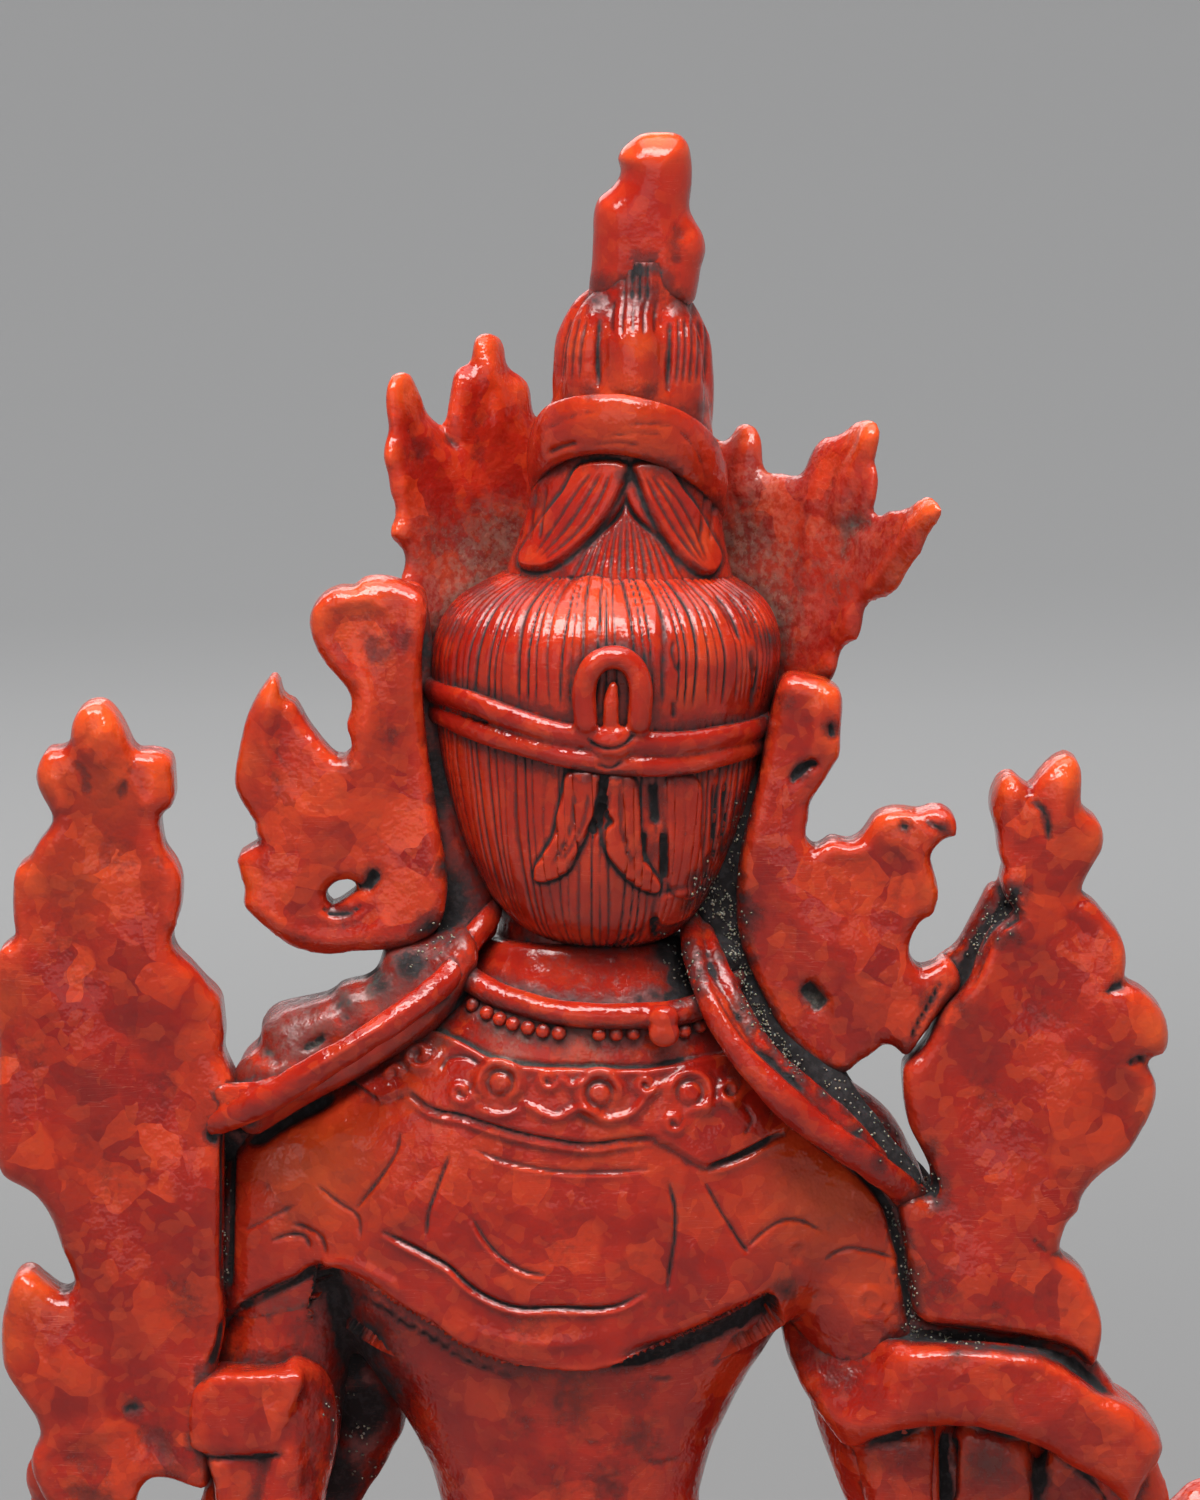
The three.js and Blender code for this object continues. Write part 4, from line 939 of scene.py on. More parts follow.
def shawl():
    """The shawl that covers her shoulders and upper back, its hem drooping behind."""
    y, droop = BODY_Y, 3.2
    cape = fused("shawl", [
        stack([[68.2, 2.6, 9.5, y, 6.2, droop], [69.4, 2.4, 12.8, y, 7.5, droop], [70.4, 2.3, 14.8, y, 7.9, droop],
               [73, 2.1, 18.2, y, 8, droop / 2], [77, 1.9, 19.6, y, 8, 0], [81, 1.6, 18.2, y, 7.8],
               [85, 1.3, 14.2, y, 7.3], [88, 1.2, 10.4, y - 0.2, 6.9], [90, 1.1, 8.0, y - 0.4, 6.3],
               [92.4, 1, 6.4, y - 0.8, 5.6]], sides=96),
        limb([[12.6, y - 1.6, 83], [17.2, y - 0.9, 79], [18.6, y - 0.7, 75], [19.2, y - 0.8, 70.5],
              [19.4, y - 1.6, 65.6]], [3.4, 5.3, 5.4, 4.9, 4.2], sides=28, blunt=True),
        limb([[-9.6, y - 1.6, 83], [-13.4, y - 0.8, 78.6], [-15.2, y - 0.5, 74], [-16.2, y - 0.5, 69.6],
              [-17.4, y - 1.2, 64.6]], [3.4, 5.2, 5.4, 4.9, 4.2], sides=28, blunt=True),
    ], voxel=0.30, smooth=12, waves=0.2)
    finer(cape, lambda m: (m[:, 1] > y + 1.5) & (m[:, 2] > 65) & (np.abs(m[:, 0] - 1.9) < 21.5))
    modify(cape, "SMOOTH", factor=0.5, iterations=2)
    # folds and hems, and the parts under the hem that lie lower
    emboss(cape, [
        (322, 1268), (361, 1286), (398, 1310), (431, 1329), (458, 1349), (500, 1366), (560, 1373), (600, 1372),
        (629, 1363), (678, 1343), (732, 1319), (772, 1298), (784, 1330), (790, 1440), (330, 1440), (318, 1300),
    ], height=-2.4, edge=5, soil_and_shade=0.25)
    emboss(cape, [
        (226, 1316), (253, 1304), (276, 1293), (299, 1283), (322, 1266), (338, 1300), (338, 1440), (226, 1440),
    ], height=-0.5, edge=6, soil_and_shade=0.3)
    carve(cape, [
        [[(400, 1133), (396, 1151), (380, 1177), (366, 1195), (355, 1209)], 2.8, 0.2],
        [[(318, 1186), (338, 1202), (357, 1216), (361, 1237)], 2.4, 0.14],
        [[(449, 1156), (440, 1179), (428, 1214), (426, 1237)], 2.8, 0.2],
        [[(382, 1232), (401, 1241), (426, 1254), (449, 1267), (472, 1288), (495, 1301), (518, 1308), (555, 1308),
          (613, 1307), (645, 1292)], 2.8, 0.24, 0.2],
        [[(472, 1218), (486, 1241), (502, 1258), (523, 1271), (546, 1276)], 2.6, 0.16, 0.12],
        [[(669, 1184), (675, 1207), (675, 1238), (671, 1263), (667, 1292)], 3, 0.22],
        [[(705, 1182), (717, 1204), (732, 1229), (743, 1246), (748, 1253)], 2.8, 0.2],
        [[(746, 1249), (760, 1235), (782, 1221), (802, 1221), (822, 1231)], 2.6, 0.16],
        [[(825, 1260), (844, 1249), (873, 1252), (901, 1260)], 2.6, 0.16],
        [spiral(872, 1302, 20, 1.2, start=0.4, inwards=0.3), 4, -0.12],
        [spiral(800, 1250, 16, 1.0, start=1.4), 4, -0.1],
        [[(270, 1241), (290, 1235), (304, 1237), (310, 1248)], 2.8, 0.18],
        [[(294, 1224), (306, 1228), (320, 1237), (326, 1253)], 2.8, 0.18],
        [[(246, 1230), (269, 1218), (295, 1205)], 2.6, 0.12],
        [[(239, 1306), (253, 1299), (276, 1288), (299, 1278), (320, 1263)], 5, 0.3],
        [[(329, 1269), (361, 1281), (398, 1306), (431, 1325), (458, 1345), (500, 1362), (560, 1368)], 3.6, 0.25],
        [[(620, 1360), (653, 1348), (678, 1340), (703, 1330), (732, 1316), (760, 1304), (774, 1295)], 7, 0.4],
        [[(641, 1379), (672, 1379)], 2.6, 0.2], [[(320, 1262), (345, 1262), (372, 1273), (404, 1292)], 6, -0.2],
        [[(690, 1240), (700, 1270), (712, 1290)], 7, -0.12], [[(420, 1180), (412, 1210), (396, 1226)], 8, -0.14],
        [[(340, 1120), (352, 1150), (344, 1180)], 12, -0.16], [[(620, 1190), (630, 1230), (620, 1270)], 12, -0.12],
        [[(780, 1180), (800, 1200), (840, 1215)], 12, -0.14], [[(470, 1330), (530, 1345), (600, 1340)], 9, -0.16],
        [[(790, 1262), (812, 1282), (840, 1290)], 9, -0.14], [[(262, 1180), (280, 1200), (300, 1240)], 10, 0.12],
    ], soil_and_shade=0.34)
    # black lines under the rope, beside the slit and along the hem: painted shade with soiling
    carve(cape, [
        [[(625, 1356), (653, 1346), (678, 1338), (703, 1328), (732, 1314), (756, 1305)], 5, 0.05],
        [[(240, 1306), (253, 1299), (276, 1288), (299, 1278), (318, 1264)], 4, 0.1],
        [[(246, 1142), (262, 1135), (284, 1121), (310, 1107), (334, 1093)], 8, 0.45],
        [[(232, 1142), (231, 1180), (230, 1230), (229, 1290)], 3.5, 0.3],
        [[(794, 1122), (830, 1148), (866, 1176), (888, 1204), (899, 1240), (907, 1280), (912, 1326)], 6, 0.5],
    ], soil_and_shade=1.3)
    # the sloping shelf, the band of scrolls and its ledge
    emboss(cape, [
        (345, 1072), (379, 1062), (423, 1030), (461, 1042), (496, 1060), (540, 1067), (595, 1069), (650, 1068),
        (700, 1058), (742, 1056), (764, 1086), (790, 1122), (743, 1152), (708, 1166), (655, 1139), (622, 1143),
        (590, 1147), (555, 1143), (520, 1136), (488, 1127), (461, 1118), (431, 1111), (407, 1093), (379, 1101),
    ], height=0.3, edge=8, soil_and_shade=0.15)
    carve(cape, [
        [[(342, 1073), (360, 1088), (379, 1101)], 2.6, 0.2],
        [[(423, 1023), (461, 1039), (496, 1058), (520, 1063), (595, 1066), (649, 1066),
          (700, 1056)], 3.2, 0.16, 0.16], [spiral(420, 1055, 16, 1.2), 4.5, -0.3],
        [spiral(461, 1092, 12, 1.1), 4.5, -0.28], [spiral(501, 1083, 22, 0.8, start=2.4, inwards=0.8), 5, -0.4],
        [spiral(599, 1094, 22, 0.8, start=0.3, inwards=0.8, way=-1), 5, -0.4],
        [spiral(690, 1093, 22, 0.8, start=2.8, inwards=0.8), 5, -0.4], [spiral(673, 1122, 11, 1.1), 4.5, -0.26],
        [spiral(729, 1090, 13, 1.1), 4.5, -0.3], [spiral(548, 1080, 10, 1.1), 4, -0.26],
        [spiral(645, 1084, 10, 1.1), 4, -0.26],
        [[(522, 1102), (540, 1112), (558, 1118), (579, 1108), (606, 1120), (634, 1112), (647, 1096),
          (663, 1084)], 4.5, -0.32], [[(440, 1070), (448, 1058), (466, 1056), (480, 1064)], 3, 0.18],
        [[(384, 1078), (396, 1068), (404, 1074)], 4.5, -0.28], [[(703, 1114), (719, 1101), (735, 1108)], 4.5, -0.26],
        [[(560, 1076), (572, 1086), (582, 1080)], 4, -0.24], [[(476, 1108), (500, 1116), (520, 1110)], 4, -0.22],
        [[(744, 1106), (752, 1120), (744, 1136)], 3, 0.12],
        [[(407, 1090), (431, 1109), (461, 1116), (488, 1125), (520, 1134), (555, 1141), (590, 1145), (622, 1141),
          (655, 1137)], 3.2, 0.26, 0.24],
        [[(471, 1148), (501, 1160), (531, 1167), (566, 1172), (610, 1172), (650, 1169)], 2.6, 0.12, 0.08],
        [[(708, 1168), (743, 1155), (781, 1133)], 3.6, 0.28, 0.14],
    ], soil_and_shade=0.35)
    for x, y in ((501, 1083), (599, 1094), (690, 1093)):
        emboss(cape, disc(x, y, 10), height=0.32, edge=7, soil_and_shade=0.0)
    # soil spots: soiling and painted shade in the slit, the gaps under the hem and the shadow at her neck
    blot(cape, "soil_and_shade", [
        (258, 1130, 14, 0.8), (672, 1052, 20, 0.6), (786, 1290, 13, 0.8), (520, 1032, 12, 0.4), (450, 1010, 12, 0.4),
        (318, 1272, 9, 0.6), (480, 1030, 16, 0.35), (560, 1044, 20, 0.35), (620, 1046, 20, 0.35),
        (440, 1040, 14, 0.45), (398, 1058, 16, 0.5), (735, 1070, 18, 0.5), (770, 1110, 14, 0.4), (674, 948, 24, 1.5),
        (690, 985, 20, 1.4), (655, 996, 14, 0.9), (356, 1333, 14, 1.3), (768, 1303, 9, 1.2), (292, 1322, 26, 0.4),
        (590, 965, 80, 0.2), (664, 958, 10, 0.9), (678, 960, 13, 1.7), (678, 978, 13, 1.7), (672, 998, 12, 1.4),
        (640, 1002, 14, 0.9), (610, 1001, 12, 0.6), (505, 985, 18, 0.5), (715, 1040, 14, 0.7), (560, 1240, 30, 0.22),
        (660, 1300, 26, 0.22), (520, 1330, 30, 0.2),
    ])
    # painted light: the lit sides of the shawl painted a lighter orange
    blot(cape, "painted_glow", [(320, 1170, 60, 0.5), (820, 1200, 60, 0.5), (860, 1280, 40, 0.3)])
    blot(cape, "grit", [(286, 1322, 26, 0.12), (510, 1046, 26, 0.2), (590, 1054, 26, 0.14), (440, 1040, 14, 0.12)])
    finished(cape, chips=0.62)
    paint(cape, "chips", np.where(points_of(cape)[:, 2] > 88.6, 0.1, 0.62), most=False)
    return cape


def neck_roll_and_beads(under):
    """The rolled collar with its tab, and the row of beads that hangs under it."""
    mid = [(452, 962), (466, 976), (494, 993), (527, 1005), (560, 1013), (598, 1016), (634, 1016), (668, 1014),
           (700, 1006), (722, 992)]
    edge = depths([(x, y, 12.9 + 0.9 * math.cos((x - 600) / 90) - 0.00012 * (x - 600) ** 2) for x, y in mid])
    front = [[-8.8, 4.6, 91.2], [-6.6, -1.6, 89.4], [1, -4.4, 87.6], [8.6, -1.6, 89.4], [10.8, 4.6, 92.2]]
    path = np.concatenate([edge, front, edge[:1]])
    roll = limb(path, [0.8] * len(path), sides=16, steps=8, flat=(0, 0, 1))
    tab = [ball(place, radii) for place, radii in zip(
        depths([(664, 1033, 14.3), (664, 1018, 14.2)]), ((0.95, 0.6, 0.9), (0.9, 0.7, 0.8)))]
    finished(fused("neck_roll", [roll, *tab], voxel=0.16, smooth=2, waves=0.08), chips=0.5)
    row = [(443, 986), (457, 996), (473, 1005), (487, 1013), (500, 1019), (513, 1024), (528, 1028), (543, 1031),
           (559, 1033), (599, 1034), (616, 1034), (633, 1033), (684, 1031), (699, 1026), (713, 1019)]
    return [ball(place, 0.46, finer=2) for place in onto(under, row, 0.1)]


# HEAD
def head_and_face():
    """A calm mask of plain proportions, with long ears and round earrings."""
    chin, y = 93, HEAD_Y - 4
    front = y - 8
    parts = [
        stack([[chin - 0.4, 0, 2.4, y - 3.6, 2.8], [chin + 1.2, 0, 4.6, y - 2.2, 4.6],
               [chin + 4.2, 0, 7.2, y - 0.6, 6.8], [chin + 8.4, 0, 8.6, y, 8], [chin + 12.6, 0, 9, y, 8.2],
               [chin + 17, 0, 8.6, y + 0.4, 7.9], [chin + 20, 0, 6.4, y + 1, 6.4]], sides=80),
        limb([[0, front + 0.9, chin + 10.8], [0, front - 0.3, chin + 8], [0, front - 0.9, chin + 6.1]],
             [0.55, 0.75, 1.05]),
        ball((0, front + 0.6, chin + 3.95), (1.8, 0.95, 0.5)),
        ball((0, front + 0.8, chin + 3.0), (1.5, 0.95, 0.55)),
        ball((0, front + 1.6, chin + 1.0), (1.8, 1.4, 1.3)),
        ball((0, front + 0.55, chin + 13), (0.5, 0.5, 1.1)),
    ]
    for side in (1, -1):
        parts += [
            ball((side * 3.3, front + 1.35, chin + 8.9), (2.0, 1.15, 1.0)),
            limb([[side * 1.3, front + 0.75, chin + 9.0], [side * 3.3, front + 0.25, chin + 9.7],
                  [side * 5.3, front + 1.5, chin + 9.1]],
                 [0.3, 0.38, 0.28]),
            limb([[side * 1, front + 0.9, chin + 10.9], [side * 3.4, front + 0.85, chin + 12],
                  [side * 5.8, front + 2.2, chin + 11]],
                 [0.4, 0.5, 0.35]),
            ball((side * 0.85, front - 0.15, chin + 5.8), (0.62, 0.7, 0.5)),
            ball((side * 4.2, front + 2.6, chin + 5.2), (2.4, 1.8, 2.2)),
            ball((side * 9.0, HEAD_Y - 3.6, chin + 8), (1.1, 2.0, 3.2), lean=(8, 0, 0)),
            ball((side * 9.2, HEAD_Y - 3.9, chin + 5), (0.9, 1.2, 3.0)),
            ball((side * 9.4, HEAD_Y - 4.2, chin + 1.6), (1.5, 2.0, 2.0)),
        ]
    head = fused("head_and_face", parts, voxel=0.22, smooth=3)
    eye = chin + 8.75
    lid = ((1.5, 0), (2.6, -0.3), (4, -0.2), (5.1, 0.2))
    brow = ((1.4, 1.5), (3.3, 2.1), (5.4, 1.4))
    carve(head, [
        [[(-1.45, chin + 3.5), (-0.7, chin + 3.62), (0, chin + 3.45), (0.7, chin + 3.62),
          (1.45, chin + 3.5)], 0.16, 0.22],
        *[[[(side * x, eye + z) for x, z in lid], 0.17, 0.24] for side in (1, -1)],
        *[[[(side * x, eye + z) for x, z in brow], 0.22, 0.14] for side in (1, -1)],
        [[(0, chin + 12.4), (0.28, chin + 13), (0, chin + 13.6), (-0.28, chin + 13), (0, chin + 12.4)], 0.1, 0.12],
        [[(0, chin + 4.6), (0, chin + 5.0)], 0.28, 0.14],
    ], side=BEFORE, soil_and_shade=0.9)
    finished(head, chips=0.25)


def hair_strands(piece, middle, count, depth, above=None, below=None, soil_and_shade=0.5):
    """Fine combed locks that run down from the crown of the head, no two quite alike."""
    points, normals = points_of(piece), normals_of(piece)
    x, y, z = points[:, 0] - middle[0], points[:, 1] - middle[1], points[:, 2]
    turn = np.arctan2(x, y)
    place = turn / (2 * math.pi) * count
    place += 0.14 * np.sin(z * 0.5 + 3 * np.sin(place * 0.7)) + 0.24 * np.sin(place * 1.9)
    lock = np.floor(place)
    shade = np.random.default_rng(7).random(4 * count + 8)
    key = lock.astype(int) % len(shade)
    from_groove = np.abs(place - np.round(place))
    cut = np.exp(-((from_groove / 0.15) ** 2)) * (0.35 + 0.65 * shade[(np.round(place).astype(int) * 7) % len(shade)])
    where = np.ones(len(points))
    if above is not None:
        where *= np.clip((z - above) / 1.0, 0, 1)
    if below is not None:
        where *= np.clip((below - z) / 1.0, 0, 1)
    rise = (0.25 * depth * (shade[key] - 0.5) - depth * cut) * where
    move_to(piece, points + normals * rise[:, None])
    # the grooves between locks are painted darker: soiling and painted shade
    paint(piece, "soil_and_shade", soil_and_shade * cut * where)


def hair_cap():
    """Her combed hair, cut round below the neck."""
    y = HEAD_Y
    cap = fused("hair_cap", [
        stack([[92.0, -0.3, 2.6, y + 1.6, 3.2], [93.2, -0.2, 5.0, y + 1.6, 5.6], [95, 0, 6.6, y + 1.3, 7.1],
               [98.6, 0, 8.5, y + 0.7, 8.5], [102, 0, 9.6, y + 0.2, 9.1], [105.5, 0, 10.2, y, 9.4],
               [108.5, -0.2, 10.6, y, 9.7], [110.6, -0.4, 10.5, y - 0.1, 9.7], [112.6, -0.6, 9.5, y - 0.4, 8.9],
               [114.0, -0.8, 7.4, y - 0.8, 7.3], [114.9, -1, 5, y - 1, 5]], sides=96),
    ], voxel=0.25, smooth=3, waves=0.12)
    finer(cap, lambda m: (m[:, 1] > y + 1.2) & (m[:, 2] > 91.5))
    modify(cap, "SMOOTH", factor=0.5, iterations=1)
    hair_strands(cap, (-0.4, y - 2), 104, 0.2, above=107.0, soil_and_shade=0.62)
    hair_strands(cap, (0, y - 1), 98, 0.13, below=106.5, soil_and_shade=0.55)
    carve(cap, [
        [[(674, 641), (672, 652), (675, 662), (678, 672)], 2.6, 0.16], [[(674, 702), (674, 719)], 3, 0.16],
        [[(715, 595), (728, 614), (741, 640)], 3, 0.16], [[(728, 592), (742, 612), (753, 640)], 3, 0.16],
        [[(742, 596), (753, 616), (760, 650)], 3, 0.16], [[(751, 650), (756, 680), (752, 712)], 4, 0.2],
        [[(564, 601), (584, 582), (602, 583), (613, 598)], 5, -0.25],
    ], soil_and_shade=0.8)
    # the two tails of the tie
    emboss(cap, [
        (569, 773), (600, 775), (600, 798), (589, 827), (574, 857), (569, 868), (554, 878), (538, 880), (536, 870),
        (554, 837), (561, 806), (564, 791),
    ], height=0.42, edge=5, soil_and_shade=0.75)
    emboss(cap, [
        (607, 776), (633, 778), (638, 804), (639, 832), (646, 863), (659, 883), (656, 891), (641, 888), (623, 873),
        (607, 850), (605, 832), (613, 821), (602, 806),
    ], height=0.42, edge=5, soil_and_shade=0.75)
    emboss(cap, [
        (668, 778), (697, 780), (699, 830), (697, 893), (672, 890), (668, 840),
    ], height=0.24, edge=5, soil_and_shade=0.4)
    emboss(cap, [
        (659, 898), (672, 892), (694, 890), (690, 914), (666, 924), (656, 919),
    ], height=0.2, edge=5, soil_and_shade=0.6)
    carve(cap, [
        [[(602, 780), (603, 800), (600, 818), (592, 834)], 5, 0.45], [[(645, 832), (645, 863)], 3, 0.25],
        [[(663, 832), (664, 880)], 4, 0.3], [[(652, 780), (655, 825)], 7, 0.25], [[(715, 783), (714, 868)], 3.4, 0.2],
        [[(726, 783), (723, 860)], 3.4, 0.2], [[(655, 938), (655, 918)], 4, 0.35],
        [[(448, 905), (500, 912), (523, 930), (547, 946), (568, 950), (609, 948), (633, 937), (650, 925)], 3, 0.1],
        [[(575, 790), (570, 830), (552, 866)], 2.6, 0.1], [[(590, 786), (582, 826), (562, 862)], 2.6, 0.08],
        [[(620, 786), (622, 830), (634, 870)], 2.6, 0.1],
    ], soil_and_shade=1.0)
    # soil spots: soiling and painted shade at the edges of the hair and under the tie
    blot(cap, "soil_and_shade", [
        (770, 640, 14, 0.8), (782, 672, 12, 0.8), (480, 590, 22, 0.55), (452, 628, 16, 0.6), (530, 574, 22, 0.45),
        (745, 590, 18, 0.5), (735, 850, 20, 0.9), (745, 800, 12, 0.7), (728, 890, 18, 1.0), (652, 800, 20, 0.5),
        (655, 850, 18, 0.5), (430, 672, 10, 0.7), (448, 610, 10, 0.6), (448, 800, 10, 0.5),
    ])
    # painted light: the lit top of the hair and its highlight painted a lighter orange
    blot(cap, "painted_glow", [
        (600, 606, 36, 0.4), (560, 620, 24, 0.25), (700, 640, 26, 0.3), (640, 600, 26, 0.3), (690, 690, 18, 0.2),
        (610, 830, 110, 0.1),
    ])
    finished(cap, chips=0.2)
    return cap


def hair_tie(under):
    """The double cord that ties her hair, with a loop standing up from its middle."""
    top = [(424, 684), (432, 690), (474, 703), (513, 718), (561, 733), (600, 738), (638, 742), (679, 743), (718, 737),
           (764, 724), (774, 716)]
    low = [(422, 704), (432, 711), (474, 730), (513, 743), (561, 756), (600, 763), (638, 766), (679, 765), (718, 757),
           (764, 740), (772, 732)]
    parts = []
    for line, radius in ((top, 0.72), (low, 0.66)):
        back = onto(under, line[1:-1], 0.15)
        left, right = back[0], back[-1]
        front = [[left[0] + 0.1, left[1] - 4, left[2] + 0.4], [8.6, -1.5, left[2] + 1], [0, -5.0, 106.4],
                 [-8.8, -1.5, right[2] + 1], [right[0] - 0.1, right[1] - 4, right[2] + 0.4]]
        path = np.concatenate([back, front[::-1], back[:1]])
        parts.append(limb(path, [[radius * 0.8, radius]] * len(path), sides=14, steps=7, flat=(0, 0, 1)))
    loop = [(586, 722), (584, 690), (591, 669), (604, 659), (620, 658), (633, 667), (640, 684), (639, 722)]
    loop = onto(under, loop, 0.35)
    parts.append(limb(loop, [0.74] * 8, sides=14, steps=5))
    drop = onto(under, [(611, 722), (611, 702), (613, 686)], 0.25)
    parts.append(limb(drop, [0.5, 0.5, 0.3], sides=10, steps=4))
    parts.append(ball(onto(under, [(612, 742)], 0.3)[0], (1.3, 0.75, 1.1)))
    tie = fused("hair_tie", parts, voxel=0.15, smooth=2, waves=0.08)
    carve(tie, [
        [[(587, 738), (596, 746), (611, 749), (626, 744), (634, 734)], 2.6, 0.18],
        [[(596, 764), (610, 768), (622, 762)], 2.4, 0.14],
    ], soil_and_shade=0.9)
    finished(tie, chips=0.3)


def topknot():
    """The gathered topknot: combed foot, two hanging loops, a slanting strap and a ring of bulges."""
    ax, ay = -2, 4.2
    bulge = ((1.7, 131.0), (2.4, 130.0), (3.0, 128.2), (3.15, 126), (3.1, 123.4), (2.9, 121.6))
    foot = fused("topknot", [
        stack([[111.5, -1.1, 7.4, 4.8, 6.9], [114.5, -1.15, 6.8, 4.7, 6.5], [116.5, -1.3, 6.2, 4.5, 6.0],
               [119.5, -1.55, 5.6, 4.3, 5.6], [122, -1.8, 5.1, 4.2, 5.2], [126, -2, 4.4, 4.2, 4.5],
               [129.6, -2.2, 3.4, 4.2, 3.4], [131.6, -2.5, 2.8, 4.2, 3.1], [133.2, -2.7, 2.0, 4.2, 2.9]], sides=72),
        *[limb([[ax + far * math.sin(a), ay + far * math.cos(a), z] for far, z in bulge],
               [0.95, 1.4, 1.75, 1.85, 1.8, 1.7], sides=20, steps=4) for a in turns(7)],
    ], voxel=0.2, smooth=3, waves=0.1)
    finer(foot, lambda m: (m[:, 1] > 5) & (m[:, 2] > 113.6))
    left = [
        (626, 466), (618, 494), (603, 520), (582, 544), (556, 565), (538, 570), (523, 566), (522, 558), (533, 538),
        (549, 514), (566, 492), (582, 466),
    ]
    right = [
        (634, 466), (640, 483), (650, 510), (664, 536), (680, 557), (701, 574), (712, 572), (718, 558), (708, 535),
        (695, 509), (681, 490), (664, 466),
    ]
    for hanging in (left, right):
        emboss(foot, hanging, height=0.5, edge=7, soil_and_shade=0.8)
    lines = []
    for k in range(3):
        s = (k + 0.8) / 3.4
        lines += [
            [[(618 - 34 * s, 474), (610 - 44 * s, 500 - 6 * s), (588 - 40 * s, 532 - 10 * s),
              (548 - 16 * s, 562 - 10 * s)], 2.2, 0.12],
            [[(640 + 24 * s, 476), (652 + 34 * s, 506 - 6 * s), (672 + 30 * s, 538 - 8 * s),
              (700 + 10 * s, 566 - 6 * s)], 2.2, 0.12],
        ]
    lines += [[[(x + 4, 486), (x, 510), (x - 3, 540)], 2.4, 0.14] for x in (522, 532, 542, 704, 714)]
    for k in range(13):
        u = (k - 6) / 6
        path = [(626 + 4 * u, 492 + 20 * abs(u)), (627 + 36 * u, 530 + 12 * abs(u)), (628 + 58 * u, 582)]
        lines.append([path, 2.6, 0.14])
    # the combing between the bulges: where the strokes stand, how they run, their width and depth
    for places, (a, b, c), (top, middle, low), wide, deep in (
        ((678, 685, 692, 699, 706), (0, 1, -2), (318, 345, 384), 2.4, 0.13),
        ((624, 632, 640, 648), (0, 0, 0), (262, 280, 300), 2.2, 0.12),
        ((612, 622, 633, 644, 655), (2, 0, 0), (300, 316, 334), 2.4, 0.1),
        ((565, 573, 581), (6, 0, -2), (318, 346, 380), 2.4, 0.1),
    ):
        lines += [[[(x + a, top), (x + b, middle), (x + c, low)], wide, deep] for x in places]
    lines += [
        [[(600, 318), (598, 346), (598, 388)], 3.4, 0.18], [[(670, 322), (669, 350), (668, 392)], 3.4, 0.18],
        [[(566, 579), (596, 588), (628, 590), (662, 590), (690, 584)], 4, 0.2],
    ]
    carve(foot, lines, soil_and_shade=0.85)
    strip = band(lambda t: (ax + 0.35 + 5.35 * math.cos(t), ay + 5.75 * math.sin(t),
                            120.2 + 3.4 * math.sin(t) + 0.85 * math.cos(t)),
                 (0.75, 1.85), sides=14)
    strap = fused("topknot_strap", [strip], voxel=0.16, smooth=2, waves=0.12)
    carve(strap, [
        [[(626, 425), (650, 424), (673, 426)], 2, 0.06], [[(600, 437), (640, 433), (664, 435)], 2, 0.06],
        [[(594, 445), (620, 443), (640, 446)], 2, 0.06], [[(548, 453), (562, 447), (577, 443)], 3, 0.16],
        [[(545, 431), (570, 417), (600, 410)], 3, 0.06], [[(680, 430), (698, 452), (708, 484)], 3, 0.08],
    ], soil_and_shade=0.5)
    for piece in (foot, strap):
        # soil spots: soiling and painted shade between the bulges and under the loops
        blot(piece, "soil_and_shade", [
            (598, 300, 14, 0.8), (640, 292, 24, 0.8), (636, 270, 20, 1.0), (654, 266, 12, 0.8), (616, 278, 12, 0.8),
            (682, 304, 14, 0.8), (628, 476, 12, 1.0), (536, 500, 12, 0.7), (714, 506, 12, 0.8), (560, 568, 12, 0.6),
            (694, 572, 12, 0.7), (720, 440, 10, 0.5), (590, 391, 12, 0.5), (650, 391, 12, 0.5), (700, 408, 10, 0.6),
        ])
        # painted light: lit tops of the bulges, loops and strap painted a lighter orange
        blot(piece, "painted_glow", [
            (640, 345, 16, 0.4), (575, 350, 14, 0.3), (620, 410, 50, 0.3), (640, 440, 40, 0.3), (700, 540, 16, 0.3),
        ])
        finished(piece, chips=0.3)
    jewel = slab([
        (641, 136), (663, 134), (679, 136), (688, 145), (692, 164), (692, 186), (690, 211), (696, 224), (703, 236),
        (706, 252), (701, 271), (698, 290), (693, 305), (660, 318), (620, 318), (591, 301), (592, 264), (593, 239),
        (594, 214), (599, 200), (610, 191), (619, 180), (621, 170), (618, 161), (622, 151), (632, 142),
    ], thick=5.0, back=lambda x, z: 6.9 - 0.03 * np.maximum(0, z - 132), soft=2.2, voxel=0.22)
    jewel.name = "topknot_jewel"
    carve(jewel, [
        [[(648, 270), (654, 266), (660, 272)], 3, 0.14], [[(596, 300), (620, 288), (644, 290), (668, 306)], 8, 0.2],
        [[(684, 222), (676, 240), (676, 268)], 9, 0.12],
    ], soil_and_shade=0.8)
    # soil spots: soiling and painted shade where the jewel meets the knot
    blot(jewel, "soil_and_shade", [
        (600, 284, 14, 0.7), (630, 286, 16, 0.8), (664, 284, 18, 0.6), (652, 268, 6, 0.5), (676, 300, 16, 0.6),
    ])
    # painted light: its thin top painted a glowing orange, as if lit through
    blot(jewel, "painted_glow", [(656, 132, 24, 0.95), (626, 150, 12, 0.6), (690, 150, 10, 0.4)])
    finished(jewel, chips=0.1)


# CROWN, RIBBONS AND SHOULDER LOTUSES
def crown_back(x, z):
    """The crown curves forward to the sides and leans outwards as it rises."""
    return -1.4 + 0.045 * x**2 - 0.16 * (z - 112)


